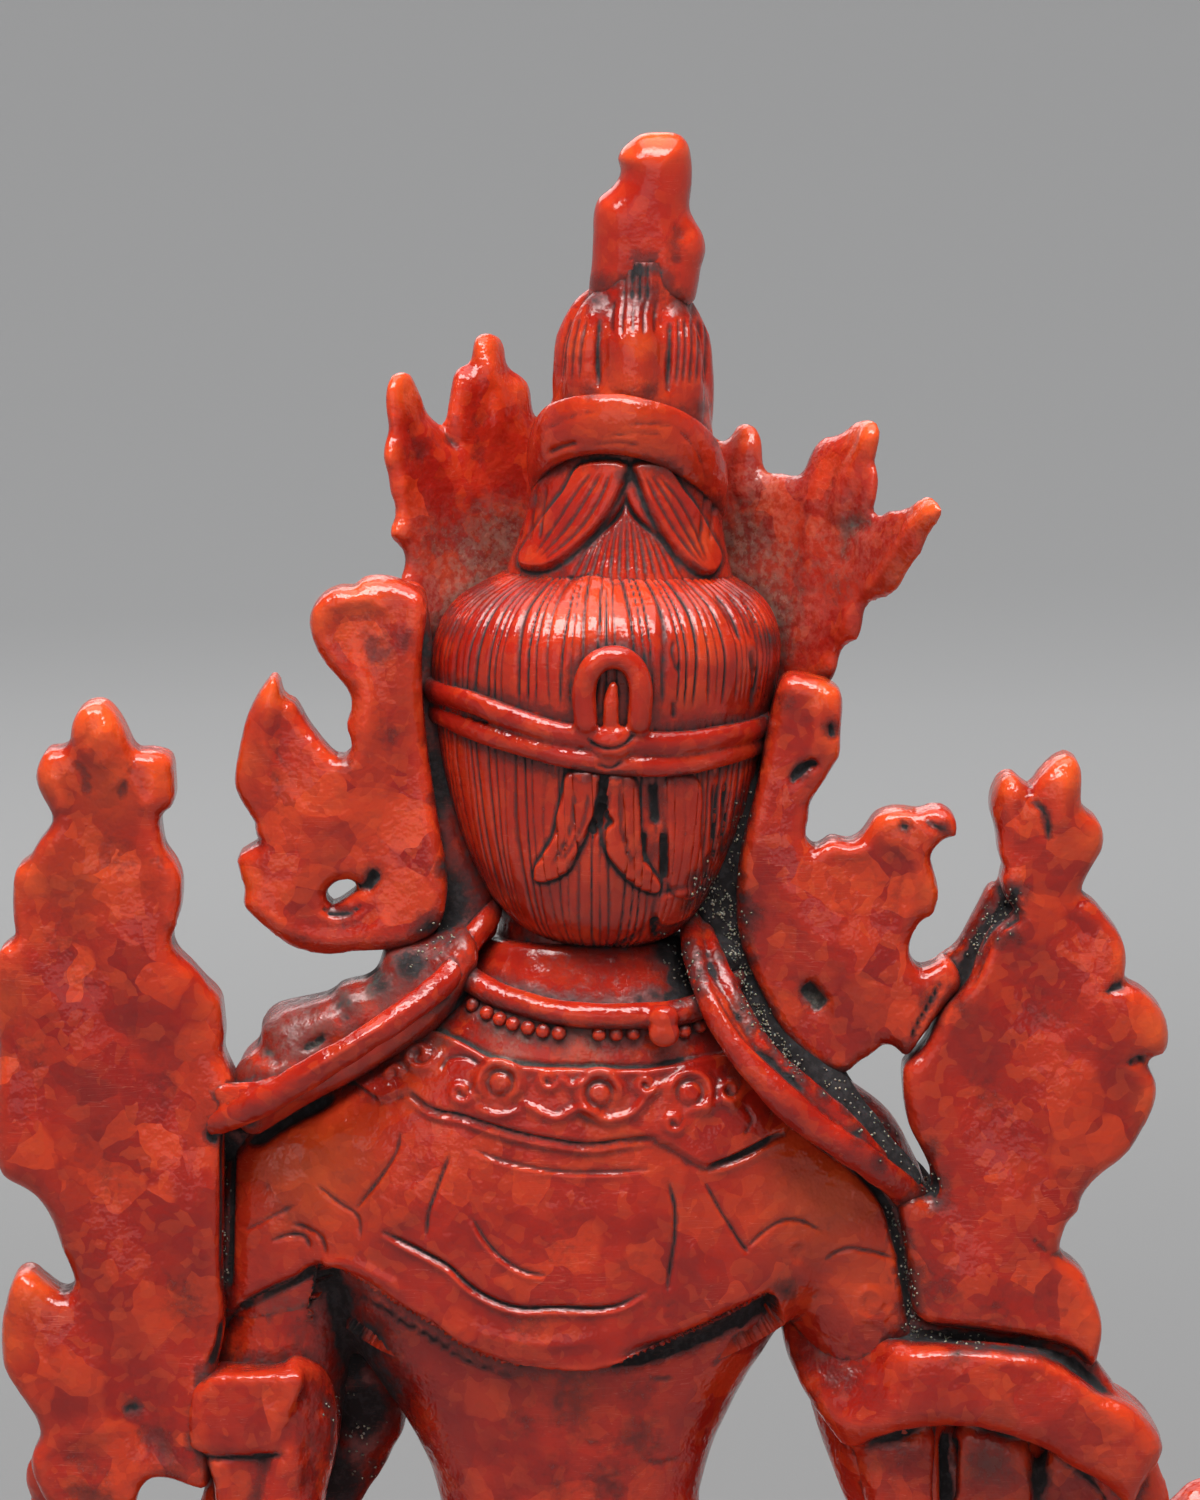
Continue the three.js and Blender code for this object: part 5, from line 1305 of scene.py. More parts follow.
def crown():
    """Five flame-edged leaves that lean outwards from a band round the brow."""
    leaves = [
        [(401, 373), (410, 376), (416, 389), (422, 403), (428, 417), (436, 425), (445, 439), (462, 452), (470, 520),
         (470, 640), (404, 640), (402, 610), (400, 580), (404, 566), (400, 548), (391, 540), (390, 529), (395, 521),
         (396, 509), (390, 495), (387, 473), (383, 461), (384, 445), (388, 435), (387, 421), (385, 403), (386, 389),
         (390, 378)],
        [(485, 333), (497, 337), (503, 346), (505, 362), (509, 371), (519, 376), (527, 383), (531, 395), (532, 413),
         (536, 427), (548, 480), (548, 640), (452, 640), (444, 520), (446, 455), (453, 447), (446, 433), (447, 415),
         (450, 397), (453, 378), (459, 368), (468, 368), (471, 362), (472, 348), (475, 338)],
        [(690, 452), (700, 437), (707, 431), (719, 442), (727, 442), (734, 433), (741, 425), (752, 426), (759, 435),
         (763, 449), (764, 468), (768, 476), (786, 474), (800, 500), (800, 650), (690, 650)],
        [(770, 490), (783, 476), (801, 477), (807, 464), (815, 449), (824, 440), (836, 437), (844, 435), (854, 426),
         (863, 421), (873, 422), (878, 429), (878, 447), (876, 464), (878, 472), (879, 484), (877, 500), (871, 517),
         (867, 526), (879, 520), (891, 512), (908, 511), (918, 503), (928, 499), (938, 503), (943, 512), (939, 523),
         (928, 539), (922, 556), (908, 574), (899, 589), (887, 599), (875, 602), (868, 607), (865, 617), (863, 630),
         (858, 643), (848, 645), (840, 656), (837, 673), (828, 688), (800, 700), (760, 690), (745, 640), (750, 540)],
    ]
    # the leaf over the brow, seen only over her head from the front
    leaves.append([
        (600, 300), (630, 345), (652, 410), (672, 450), (668, 520), (660, 640), (540, 640), (532, 520), (528, 450),
        (548, 410), (570, 345),
    ])
    parts = [slab(leaf, thick=2.8, back=crown_back, soft=1.3, voxel=0.28) for leaf in leaves]
    brow = band(
        lambda t: (9.5 * math.cos(t), HEAD_Y - 3.4 + 8.6 * math.sin(t), 107.6 + 0.8 * max(0, -math.sin(t))),
        (1.0, 1.4), sides=12,
    )
    whole = fused("crown", [*parts, brow], voxel=0.28, smooth=2, waves=0.2)
    carve(whole, [
        [[(412, 420), (416, 440), (424, 462)], 10, 0.16], [[(400, 470), (402, 500), (404, 540)], 8, -0.2],
        [[(486, 356), (492, 376), (500, 400), (498, 440)], 10, -0.3], [[(470, 392), (474, 430), (480, 468)], 9, 0.12],
        [[(873, 427), (866, 444), (858, 461), (842, 498), (837, 525)], 9, -0.35],
        [[(930, 505), (901, 544), (880, 575), (865, 597)], 9, -0.35], [[(852, 603), (844, 628), (838, 642)], 7, -0.2],
        [[(862, 528), (852, 524), (844, 544), (838, 570)], 9, 0.14], [[(745, 440), (740, 470), (742, 500)], 8, -0.25],
        [[(820, 470), (812, 500), (812, 545), (806, 590)], 10, -0.2],
    ], soil_and_shade=0.3)
    # soil spots: soiling and painted shade low on the leaves beside her hair
    blot(whole, "soil_and_shade", [
        (455, 420, 12, 0.35), (490, 540, 44, 0.5), (440, 540, 22, 0.42), (420, 448, 18, 0.35), (852, 524, 14, 0.35),
        (838, 585, 18, 0.3), (735, 540, 34, 0.45), (765, 600, 34, 0.45), (412, 560, 18, 0.3), (800, 560, 30, 0.25),
    ])
    # painted light: the thin tips of the leaves painted a glowing orange
    blot(whole, "painted_glow", [
        (405, 385, 22, 0.6), (487, 345, 18, 0.5), (870, 430, 22, 0.7), (932, 508, 22, 0.8), (746, 430, 14, 0.5),
        (395, 530, 14, 0.4), (388, 455, 12, 0.4), (905, 575, 18, 0.5), (526, 392, 12, 0.4), (715, 442, 8, 0.4),
    ])
    blot(whole, "grit", [
        (746, 560, 56, 0.3), (474, 585, 56, 0.32), (775, 610, 44, 0.26), (500, 540, 36, 0.26), (838, 540, 56, 0.15),
        (760, 490, 40, 0.2), (430, 545, 40, 0.13),
    ])
    tree = tree_of(whole)
    jewels = []
    for x, z, size in ((0, 117.6, 1.5), (0, 123, 0.9), (6.8, 117, 1.2), (-6.8, 115.6, 1.2), (9.4, 114, 1.0),
                       (-12.4, 113.4, 1.1)):
        for place in before(tree, [(x, z)]):
            jewels += [ball(place, (size, 0.7 * size, 1.25 * size)), hoop(place, (0, -1, 0.16), size * 1.45, 0.28)]
    row = before(tree, [(k * 1.05, 108.6 + 0.008 * k * k) for k in range(-8, 9)], 0.2)
    jewels += [ball(place, 0.5, finer=2) for place in row]
    borders = []
    for (x, low, high, wide) in ((0, 110.5, 129, 3.2), (6.8, 110.5, 125.5, 2.4), (-7, 110.5, 119.6, 2.2)):
        borders.append([[(x - wide, low), (x - wide, low + 6), (x - wide * 0.7, high - 5), (x, high),
                         (x + wide * 0.7, high - 5), (x + wide, low + 6), (x + wide, low)], 0.26, 0.22])
    carve(whole, borders, side=BEFORE, soil_and_shade=0.6)
    finished(whole, chips=0.6)
    finished(joined("crown_jewels", jewels), chips=0.3)


def ear_ribbons():
    """The flame-edged ribbons that stand out flat behind each ear."""

    def left_back(x, z):
        return 10.6 - 0.05 * (x - 15) + 0.25 * np.sin(0.7 * x + 0.4 * z)

    def right_back(x, z):
        return 11.2 - 0.05 * (x + 14) + 0.25 * np.sin(0.6 * x - 0.5 * z)

    eyelet = [(325, 897), (331, 887), (341, 882), (352, 882), (359, 888), (352, 895), (342, 902), (332, 908)]
    left = slab([
        (399, 584), (381, 580), (363, 582), (353, 590), (342, 589), (324, 596), (311, 612), (309, 627), (314, 646),
        (324, 664), (336, 678), (349, 695), (351, 711), (346, 727), (352, 748), (346, 758), (336, 759), (328, 752),
        (317, 739), (306, 724), (299, 711), (293, 703), (283, 699), (278, 682), (272, 678), (266, 684), (255, 700),
        (246, 719), (240, 743), (235, 770), (234, 786), (240, 802), (247, 813), (254, 824), (255, 835), (259, 843),
        (247, 851), (237, 859), (240, 878), (244, 891), (243, 907), (255, 921), (271, 934), (290, 948), (309, 954),
        (328, 957), (349, 954), (372, 953), (400, 950), (418, 944), (438, 930), (447, 890), (439, 830), (430, 772),
        (424, 719), (421, 660), (424, 600),
    ], thick=4.4, back=left_back, voxel=0.26, holes=[eyelet])
    left.name = "left_ear_ribbon"
    carve(left, [
        [[(262, 738), (265, 748), (270, 755), (281, 775)], 4, -0.16],
        [[(322, 907), (335, 914), (350, 912), (362, 905)], 3.4, 0.3, 0.12],
        [[(365, 890), (371, 880), (377, 872)], 6, 0.5], [[(334, 604), (350, 600), (372, 600), (386, 608)], 8, -0.25],
        [[(354, 640), (358, 668), (366, 690), (366, 722), (362, 752)], 10, -0.3],
        [[(324, 640), (338, 662), (356, 680)], 6, -0.12],
        [[(270, 700), (266, 730), (262, 770), (266, 806)], 9, -0.22],
        [[(262, 900), (285, 926), (320, 938), (362, 936), (392, 920)], 9, -0.22],
        [[(290, 800), (320, 822), (350, 816)], 9, -0.1], [[(300, 868), (290, 888), (300, 912)], 8, -0.1],
    ], soil_and_shade=0.3)
    # soil spots: soiling and painted shade in the hollows and along the inner edge
    blot(left, "soil_and_shade", [
        (380, 650, 16, 0.55), (392, 736, 14, 0.5), (346, 764, 12, 0.45), (372, 876, 12, 0.8), (342, 912, 12, 0.5),
        (404, 640, 14, 0.5), (300, 940, 12, 0.35), (262, 845, 10, 0.4), (428, 740, 9, 0.5), (436, 800, 10, 0.7),
        (444, 868, 12, 0.9), (430, 925, 14, 1.0), (400, 946, 12, 0.6),
    ])
    # painted light: the thin lobes painted a glowing orange
    blot(left, "painted_glow", [
        (360, 590, 34, 0.5), (318, 618, 18, 0.5), (272, 690, 18, 0.7), (246, 760, 18, 0.4), (246, 880, 16, 0.35),
        (300, 790, 26, 0.25),
    ])
    finished(left, chips=1.0)
    right = slab([
        (818, 681), (830, 685), (841, 694), (843, 707), (841, 734), (840, 757), (833, 769), (824, 784), (815, 797),
        (810, 806), (809, 819), (806, 837), (810, 847), (818, 850), (832, 841), (848, 844), (860, 840), (869, 828),
        (877, 818), (892, 812), (907, 812), (919, 814), (933, 810), (945, 811), (956, 821), (956, 838), (947, 840),
        (936, 849), (931, 860), (936, 878), (939, 896), (933, 917), (923, 922), (913, 937), (910, 955), (919, 971),
        (933, 968), (948, 961), (962, 985), (940, 1015), (922, 1040), (907, 1058), (895, 1049), (886, 1046),
        (874, 1055), (860, 1064), (840, 1077), (808, 1060), (780, 1030), (758, 988), (743, 952), (737, 920),
        (740, 860), (757, 790), (771, 715), (786, 678),
    ], thick=4.4, back=right_back, voxel=0.26)
    right.name = "right_ear_ribbon"
    carve(right, [
        [[(831, 722), (833, 730), (834, 738)], 5, 0.45], [[(790, 782), (800, 770), (812, 764), (816, 768)], 4.5, 0.5],
        [[(803, 985), (814, 997), (823, 1008)], 9, 0.6], [[(816, 856), (834, 850), (852, 852), (868, 850)], 6, -0.25],
        [[(926, 822), (938, 826), (946, 834)], 4, 0.3], [[(900, 824), (910, 828)], 5, 0.25],
        [[(815, 700), (818, 730), (812, 760)], 8, -0.22],
        [[(880, 840), (906, 846), (918, 868), (912, 900), (902, 930)], 9, -0.2],
        [[(940, 983), (930, 1004), (918, 1024), (911, 1043)], 3, 0.35],
        [[(790, 880), (800, 920), (826, 950)], 10, -0.15],
    ], soil_and_shade=0.55)
    # soil spots: soiling and painted shade in the hollows and along the inner edge
    blot(right, "soil_and_shade", [
        (831, 730, 9, 0.8), (802, 772, 10, 0.9), (812, 996, 14, 0.7), (944, 828, 9, 0.7), (906, 826, 9, 0.6),
        (785, 700, 12, 0.5), (905, 1052, 14, 0.6), (926, 1000, 12, 0.5), (742, 900, 10, 0.9), (750, 960, 9, 0.8),
        (772, 1012, 9, 0.7), (806, 1056, 9, 0.9),
    ])
    # painted light: the thin lobes painted a glowing orange
    blot(right, "painted_glow", [(828, 690, 18, 0.6), (900, 818, 24, 0.4), (838, 750, 14, 0.4), (934, 890, 16, 0.4)])
    blot(right, "grit", [(816, 1000, 9, 0.2)])
    finished(right, chips=1.0)


def bloom(foot, x, z, spread, girths, petals):
    """The petals before a lotus's flat back. Each sways to one side by a share of the spread at its
    belly, shoulder and tip, and rises above z."""
    grown = []
    for sway, rise in petals:
        path = [foot, [x + sway * spread[0], 4.4, z], [x + sway * spread[1], 4.2, z + rise * 0.8],
                [x + sway * spread[2], 6.2, z + rise]]
        grown.append(limb(path, [[2.2, 1.4], [girths[0], 1.7], [girths[1], 1.4], [0.8, 0.8]], sides=14))
    return grown


def shoulder_lotuses():
    """The open lotus at each shoulder: a flat carved back and overlapping petals before it."""

    def left_back(x, z):
        return 12 + 0.22 * np.sin(0.5 * x + 0.35 * z) + 0.15 * np.sin(0.9 * x - 0.6 * z)

    def right_back(x, z):
        return 11.7 + 0.22 * np.sin(0.6 * x + 0.3 * z) + 0.15 * np.sin(0.8 * x - 0.7 * z)

    left = slab([
        (100, 704), (113, 714), (122, 728), (129, 744), (133, 755), (143, 753), (161, 755), (171, 761), (173, 779),
        (174, 798), (172, 808), (160, 816), (159, 825), (161, 839), (163, 851), (172, 862), (179, 876), (181, 889),
        (178, 919), (172, 932), (171, 946), (176, 956), (188, 967), (205, 986), (219, 1000), (222, 1018), (224, 1040),
        (222, 1053), (229, 1070), (235, 1084), (232, 1108), (224, 1130), (223, 1200), (222, 1280), (224, 1330),
        (216, 1372), (212, 1410), (212, 1450), (206, 1492), (192, 1490), (172, 1483), (152, 1481), (140, 1490),
        (134, 1510), (116, 1532), (70, 1530), (46, 1506), (36, 1488), (30, 1470), (32, 1454), (40, 1442), (35, 1422),
        (19, 1398), (3, 1371), (0, 1349), (1, 1322), (4, 1309), (9, 1289), (17, 1276), (28, 1273), (35, 1278),
        (50, 1290), (63, 1298), (71, 1294), (74, 1285), (70, 1272), (61, 1252), (56, 1236), (48, 1217), (34, 1198),
        (20, 1189), (0, 1177), (-6, 1130), (-3, 1060), (-8, 985), (0, 950), (8, 947), (14, 940), (12, 921), (11, 900),
        (13, 878), (16, 869), (28, 862), (34, 849), (40, 841), (48, 831), (52, 822), (51, 816), (39, 795), (34, 779),
        (38, 764), (46, 752), (68, 751), (69, 742), (71, 725), (81, 709),
    ], thick=5.0, back=left_back, voxel=0.3)
    opened = bloom([30, 6.6, 81], 30.6, 86, (3.4, 5.2, 4.6), (3.2, 2.4), ((0, 10), (-0.4, 7), (0.5, 7), (0.9, 3)))
    stem = limb([[8.6, -13, 69], [14, -11.5, 62.5], [24, -5, 63], [28.5, 3, 72], [29, 5.6, 84]],
                [1.1, 1.2, 1.3, 1.4, 1.6], sides=12)
    whole = fused("left_shoulder_lotus", [left, *opened, stem], voxel=0.31, smooth=1)
    carve(whole, [
        [[(85, 755), (92, 744), (104, 732), (112, 738)], 4, -0.14],
        [[(108, 790), (124, 776), (136, 790), (148, 812)], 4, -0.14], [[(70, 758), (84, 772), (88, 796)], 6, 0.12],
        [[(133, 762), (126, 778), (120, 800)], 6, 0.12], [[(207, 1128), (212, 1136), (213, 1144)], 5, 0.5],
        [[(165, 905), (180, 940), (206, 985)], 5, -0.16], [[(100, 724), (104, 742), (100, 766)], 9, -0.25],
        [[(52, 772), (58, 792), (64, 812)], 8, -0.2], [[(152, 772), (152, 792), (146, 812)], 8, -0.2],
        [[(122, 1412), (130, 1407), (142, 1406)], 5, 0.1],
        [[(140, 1444), (152, 1436), (162, 1444), (166, 1464)], 13, 0.16],
        [[(40, 1446), (80, 1436), (116, 1420)], 12, -0.2], [[(60, 1470), (90, 1480), (124, 1490)], 10, -0.15],
        [[(40, 880), (70, 870), (110, 882), (150, 876)], 12, -0.1], [[(30, 1000), (80, 1010), (140, 1000)], 16, -0.1],
    ], soil_and_shade=0.3)
    # the black slit beside the shawl: painted shade with soiling
    carve(whole, [
        [[(225, 1112), (224, 1150), (224, 1200), (223, 1290)], 3.5, 0.15],
        [[(224, 1322), (221, 1345), (210, 1366)], 5, 0.2],
    ], soil_and_shade=2.0)
    # soil spots: soiling and painted shade in the gaps round the plate
    blot(whole, "soil_and_shade", [
        (131, 1409, 10, 0.7), (214, 1138, 10, 0.9), (184, 1300, 26, 0.3), (156, 1448, 20, 0.25), (30, 1050, 40, 0.15),
        (160, 860, 12, 0.35), (90, 1500, 30, 0.35), (204, 1372, 10, 0.9), (170, 1470, 20, 0.4),
    ])
    # painted light: the thin petal tips painted a glowing orange
    blot(whole, "painted_glow", [
        (100, 720, 26, 0.8), (50, 776, 22, 0.5), (160, 776, 20, 0.5), (30, 880, 24, 0.4), (6, 1000, 20, 0.4),
        (28, 1290, 26, 0.6), (6, 1340, 26, 0.5), (110, 790, 40, 0.3), (90, 870, 50, 0.25), (215, 1010, 16, 0.25),
    ])
    finished(whole, chips=1.0)
    right = slab([
        (1069, 757), (1080, 765), (1083, 782), (1082, 799), (1084, 812), (1097, 820), (1105, 836), (1103, 853),
        (1094, 867), (1083, 889), (1082, 898), (1094, 904), (1108, 920), (1120, 935), (1127, 954), (1125, 980),
        (1118, 987), (1134, 988), (1151, 999), (1165, 1016), (1170, 1036), (1166, 1056), (1155, 1059), (1144, 1059),
        (1149, 1070), (1156, 1081), (1158, 1095), (1154, 1112), (1142, 1135), (1133, 1150), (1117, 1166),
        (1098, 1180), (1082, 1201), (1079, 1216), (1072, 1220), (1063, 1239), (1061, 1258), (1073, 1266),
        (1086, 1279), (1094, 1298), (1102, 1320), (1103, 1338), (1099, 1360), (1094, 1371), (1071, 1352),
        (1038, 1342), (995, 1336), (928, 1326), (914, 1314), (908, 1270), (900, 1225), (900, 1200), (914, 1194),
        (930, 1199), (932, 1176), (922, 1152), (910, 1129), (904, 1095), (905, 1067), (922, 1053), (945, 1010),
        (970, 983), (979, 957), (993, 929), (1018, 915), (1006, 900), (1001, 880), (1005, 873), (1000, 858),
        (997, 833), (991, 813), (993, 796), (1000, 782), (1010, 776), (1018, 779), (1025, 788), (1032, 794),
        (1038, 781), (1046, 772), (1055, 763),
    ], thick=5.0, back=right_back, voxel=0.3)
    bud = slab([
        (993, 886), (1010, 892), (1024, 915), (1010, 960), (985, 990), (960, 1000), (938, 985), (936, 964),
        (956, 950), (965, 935), (979, 909),
    ], thick=4.0, back=9.4, soft=1.4, voxel=0.3)
    opened = bloom([-27, 6.4, 79], -27, 84, (3.2, 4.4, 4.0), (3.1, 2.3), ((0, 9), (-0.45, 6), (0.45, 6), (-0.7, 2.5)))
    stem = limb([[-29.5, -15, 47.5], [-26.5, -9, 57], [-26, -1, 64], [-26, 4, 72], [-26, 5.6, 84]],
                [1.1, 1.2, 1.3, 1.4, 1.6], sides=12)
    whole = fused("right_shoulder_lotus", [right, bud, *opened, stem], voxel=0.31, smooth=1)
    carve(whole, [
        [[(1032, 800), (1044, 812), (1050, 840)], 5, 0.25], [[(1010, 790), (1012, 812), (1022, 840)], 8, -0.25],
        [[(1066, 772), (1062, 800), (1056, 830)], 9, -0.25],
        [[(1020, 916), (996, 932), (982, 958), (972, 984)], 4, 0.3],
        [[(922, 1166), (930, 1180), (934, 1194)], 5, 0.5], [[(1122, 985), (1112, 989), (1104, 994)], 3.4, 0.25],
        [[(1146, 1059), (1136, 1060), (1128, 1066)], 3.4, 0.25],
        [[(1063, 1256), (1044, 1250), (1030, 1236)], 4, 0.14], [[(1040, 900), (1060, 912), (1092, 908)], 12, -0.12],
        [[(1000, 1020), (1050, 1040), (1110, 1030)], 16, -0.1],
    ], soil_and_shade=0.35)
    # the dark gap under the plate and beside the bud: painted shade with soiling
    carve(whole, [
        [[(930, 1326), (985, 1335), (1038, 1344), (1072, 1354), (1092, 1370)], 6, 0.15],
        [[(1016, 884), (1010, 905), (990, 925), (970, 955), (955, 985)], 6, 0.2],
    ], soil_and_shade=1.8)
    # soil spots: soiling and painted shade in the gaps round the plate
    blot(whole, "soil_and_shade", [
        (985, 930, 16, 0.8), (1002, 892, 10, 0.8), (928, 1180, 12, 0.95), (1118, 985, 8, 0.5), (960, 1005, 14, 0.5),
        (940, 1290, 26, 0.4), (1000, 1310, 24, 0.3), (930, 1150, 14, 0.6),
    ])
    # painted light: the thin petal tips painted a glowing orange
    blot(whole, "painted_glow", [
        (1068, 770, 24, 0.7), (1006, 784, 16, 0.5), (1100, 840, 16, 0.5), (1120, 960, 16, 0.4), (1160, 1030, 20, 0.6),
        (1150, 1100, 16, 0.4), (1090, 1330, 20, 0.4),
    ])
    finished(whole, chips=1.0)


# SCARF, COILS AND SAND
def scarf_rolls():
    """The rolled edge of the scarf over each shoulder, with the rope beside the right one."""
    left = depths([(494, 900, 7.2), (490, 915, 8.8), (468, 945, 10.6), (447, 977, 12.2), (425, 997, 13.2),
                   (388, 1024, 14.1), (345, 1052, 14.5), (300, 1079, 14.2), (264, 1101, 13.4), (232, 1116, 12.2),
                   (212, 1122, 11.2)])
    right = depths([(690, 898, 7.2), (690, 921, 8.8), (693, 949, 10.8), (701, 980, 12.4), (713, 1007, 13.5),
                    (729, 1034, 14.2), (744, 1056, 14.6), (765, 1080, 14.9), (788, 1104, 14.9), (808, 1122, 14.7),
                    (836, 1142, 14.3), (866, 1161, 13.4), (892, 1180, 12.1), (916, 1202, 9.9)])
    rolls = [
        limb(left, [[0.6, 0.6], [0.7, 0.7], [0.75, 0.7], [0.8, 0.75], [0.85, 0.8], [0.8, 0.75], [0.85, 0.8],
                    [0.9, 0.8], [0.9, 0.8], [0.95, 0.8], [0.9, 0.8]], sides=18),
        limb(depths([(286, 1080, 13.4), (256, 1092, 12.7), (214, 1094, 11.4)]), [[0.4, 0.5], [0.6, 0.6], [0.9, 0.7]],
             sides=14),
        limb(right, [[0.7, 0.6], [0.7, 0.6], [0.7, 0.65], [0.72, 0.7], [0.8, 0.75], [0.85, 0.8], [0.9, 0.8],
                     [0.9, 0.8], [0.95, 0.8], [0.95, 0.8], [0.9, 0.8], [0.9, 0.7], [0.95, 0.65],
                     [1.1, 0.6]], sides=18),
        limb(depths([(700, 915, 7.4), (711, 948, 10.4), (725, 982, 12.1), (745, 1022, 13.2), (766, 1052, 13.7),
                     (790, 1078, 13.7), (814, 1099, 13.5), (842, 1124, 13.0), (880, 1158, 12.0)]),
             [0.5, 0.6, 0.72, 0.74, 0.75, 0.85, 0.95, 0.85, 0.5], sides=14),
    ]
    edge = fused("scarf_rolls", rolls, voxel=0.17, smooth=2, waves=0.3)
    carve(edge, [
        [[(712, 984), (728, 1012), (746, 1038), (772, 1062), (804, 1092)], 3, 0.2],
        [[(420, 1000), (384, 1024), (340, 1052), (296, 1080)], 3, -0.12],
    ], soil_and_shade=0.4)
    # soil spots: soiling and painted shade where the rolls meet the gaps
    blot(edge, "soil_and_shade", [
        (774, 1054, 9, 0.7), (720, 956, 9, 0.8), (740, 996, 8, 0.5), (860, 1140, 12, 0.5), (700, 910, 12, 0.6),
    ])
    # painted light: a lit stretch painted a lighter orange
    blot(edge, "painted_glow", [(740, 1010, 16, 0.3)])
    finished(edge, chips=0.5)


def hair_coils():
    """The loose locks and the lumps under the scarf, painted black where they lie in its gaps: caked soiling and
    painted shade.
    """

    def slope(x, z):
        return 12.3 - 0.34 * np.maximum(0, z - 91.2 + 0.66 * (x - 9.2)) + 0.3 * np.sin(0.9 * x + 0.7 * z)

    hump = slab([
        (226, 1112), (230, 1090), (234, 1078), (240, 1064), (249, 1055), (260, 1048), (259, 1035), (266, 1021),
        (284, 1010), (313, 1004), (332, 1000), (341, 990), (360, 985), (374, 979), (379, 966), (386, 952), (420, 940),
        (466, 930), (478, 960), (440, 1030), (380, 1070), (300, 1112), (250, 1140),
    ], thick=6, back=slope, soft=1.5, voxel=0.3)
    coils = [
        hump,
        limb([[12.4, 4, 87.4], [16.2, 3.6, 85.2], [19.6, 3.8, 82], [21, 4.4, 79]], [2.3, 2.3, 2.0, 1.6], sides=20),
        limb(depths([(716, 880, 7.4), (733, 925, 8.0), (748, 980, 8.5), (772, 1026, 9.1), (806, 1062, 9.7),
                     (840, 1104, 10.4), (874, 1144, 10.6), (906, 1180, 10.4)]),
             [[2.4, 1.5], [2.4, 1.5], [2.0, 1.5], [1.8, 1.5], [1.6, 1.5], [1.3, 1.4], [1.2, 1.4], [1.0, 1.3]],
             sides=20),
        limb(depths([(742, 770, 7.6), (736, 820, 7.8), (728, 870, 7.8), (722, 910, 7.6)]),
             [[1.4, 1.4], [1.8, 1.6], [2.2, 1.6], [2.4, 1.6]], sides=16),
        limb(depths([(408, 600, 6.0), (418, 700, 7.0), (436, 800, 7.6), (455, 880, 7.8), (466, 930, 8.2)]),
             [[1.3, 1.2], [1.6, 1.4], [1.8, 1.4], [2.1, 1.4], [2.1, 1.4]], sides=16),
        limb([[-7.4, 4, 92.2], [-9.4, 4.6, 88.0], [-12.4, 4.8, 83.6], [-15.8, 4.8, 79.4], [-19, 4.6, 76]],
             [2.2, 2.5, 2.3, 1.9, 1.8], sides=20),
        limb(depths([(338, 1330, 5.2), (356, 1372, 4.8), (368, 1412, 4.2), (346, 1458, 3.8), (318, 1510, 3.4),
                     (306, 1570, 3.2)]),
             [[1.6, 1.6], [2.2, 2], [2.3, 2], [2.2, 2], [1.9, 1.8], [1.6, 1.6]], sides=20),
    ]
    # lumps that fill the deep gaps, painted black by the spots below: painted shade with soiling
    for px, py, y, r in ((226, 1132, 7.5, 1.8), (226, 1180, 7, 1.6), (714, 960, 10, 1.2), (470, 1010, 9.4, 1.6)):
        coils.append(ball(depths([(px, py, y)])[0], (r * 1.4, r, r)))
    hair = fused("hair_coils", coils, voxel=0.3, smooth=2, waves=0.4)
    carve(hair, [
        [[(303, 1050), (314, 1044), (326, 1036)], 3.5, 0.35], [[(262, 1048), (274, 1056), (280, 1064)], 7, 0.14],
        [[(334, 1002), (342, 1012), (348, 1022)], 8, 0.16], [[(236, 1086), (246, 1078), (258, 1074)], 5, 0.16],
    ], soil_and_shade=0.8)
    # the locks at her right lie in the gap behind the scarf and are painted black all over: soiling and painted shade
    points = points_of(hair)
    paint(hair, "soil_and_shade", np.where((points[:, 0] < 0) & (points[:, 1] > 4.2), 1.25, 0.12))
    blot(hair, "soil_and_shade", [
        (272, 1026, 18, 0.7), (244, 1066, 14, 0.6), (310, 1012, 18, 0.7), (345, 1000, 20, 0.85), (380, 985, 22, 1.0),
        (410, 965, 26, 1.1), (440, 900, 50, 1.2), (425, 780, 60, 1.2), (410, 650, 50, 1.1), (460, 1010, 22, 1.0),
        (226, 1150, 26, 1.2), (355, 1030, 18, 0.5), (300, 1036, 50, 0.62), (250, 1080, 26, 0.5), (250, 1122, 14, 0.9),
        (345, 1360, 34, 1.3), (362, 1410, 40, 1.3), (336, 1480, 40, 1.2), (316, 1540, 30, 1.0),
    ])
    blot(hair, "grit", [(300, 1044, 56, 0.08), (366, 1000, 40, 0.08)])
    finished(hair, chips=0.3)


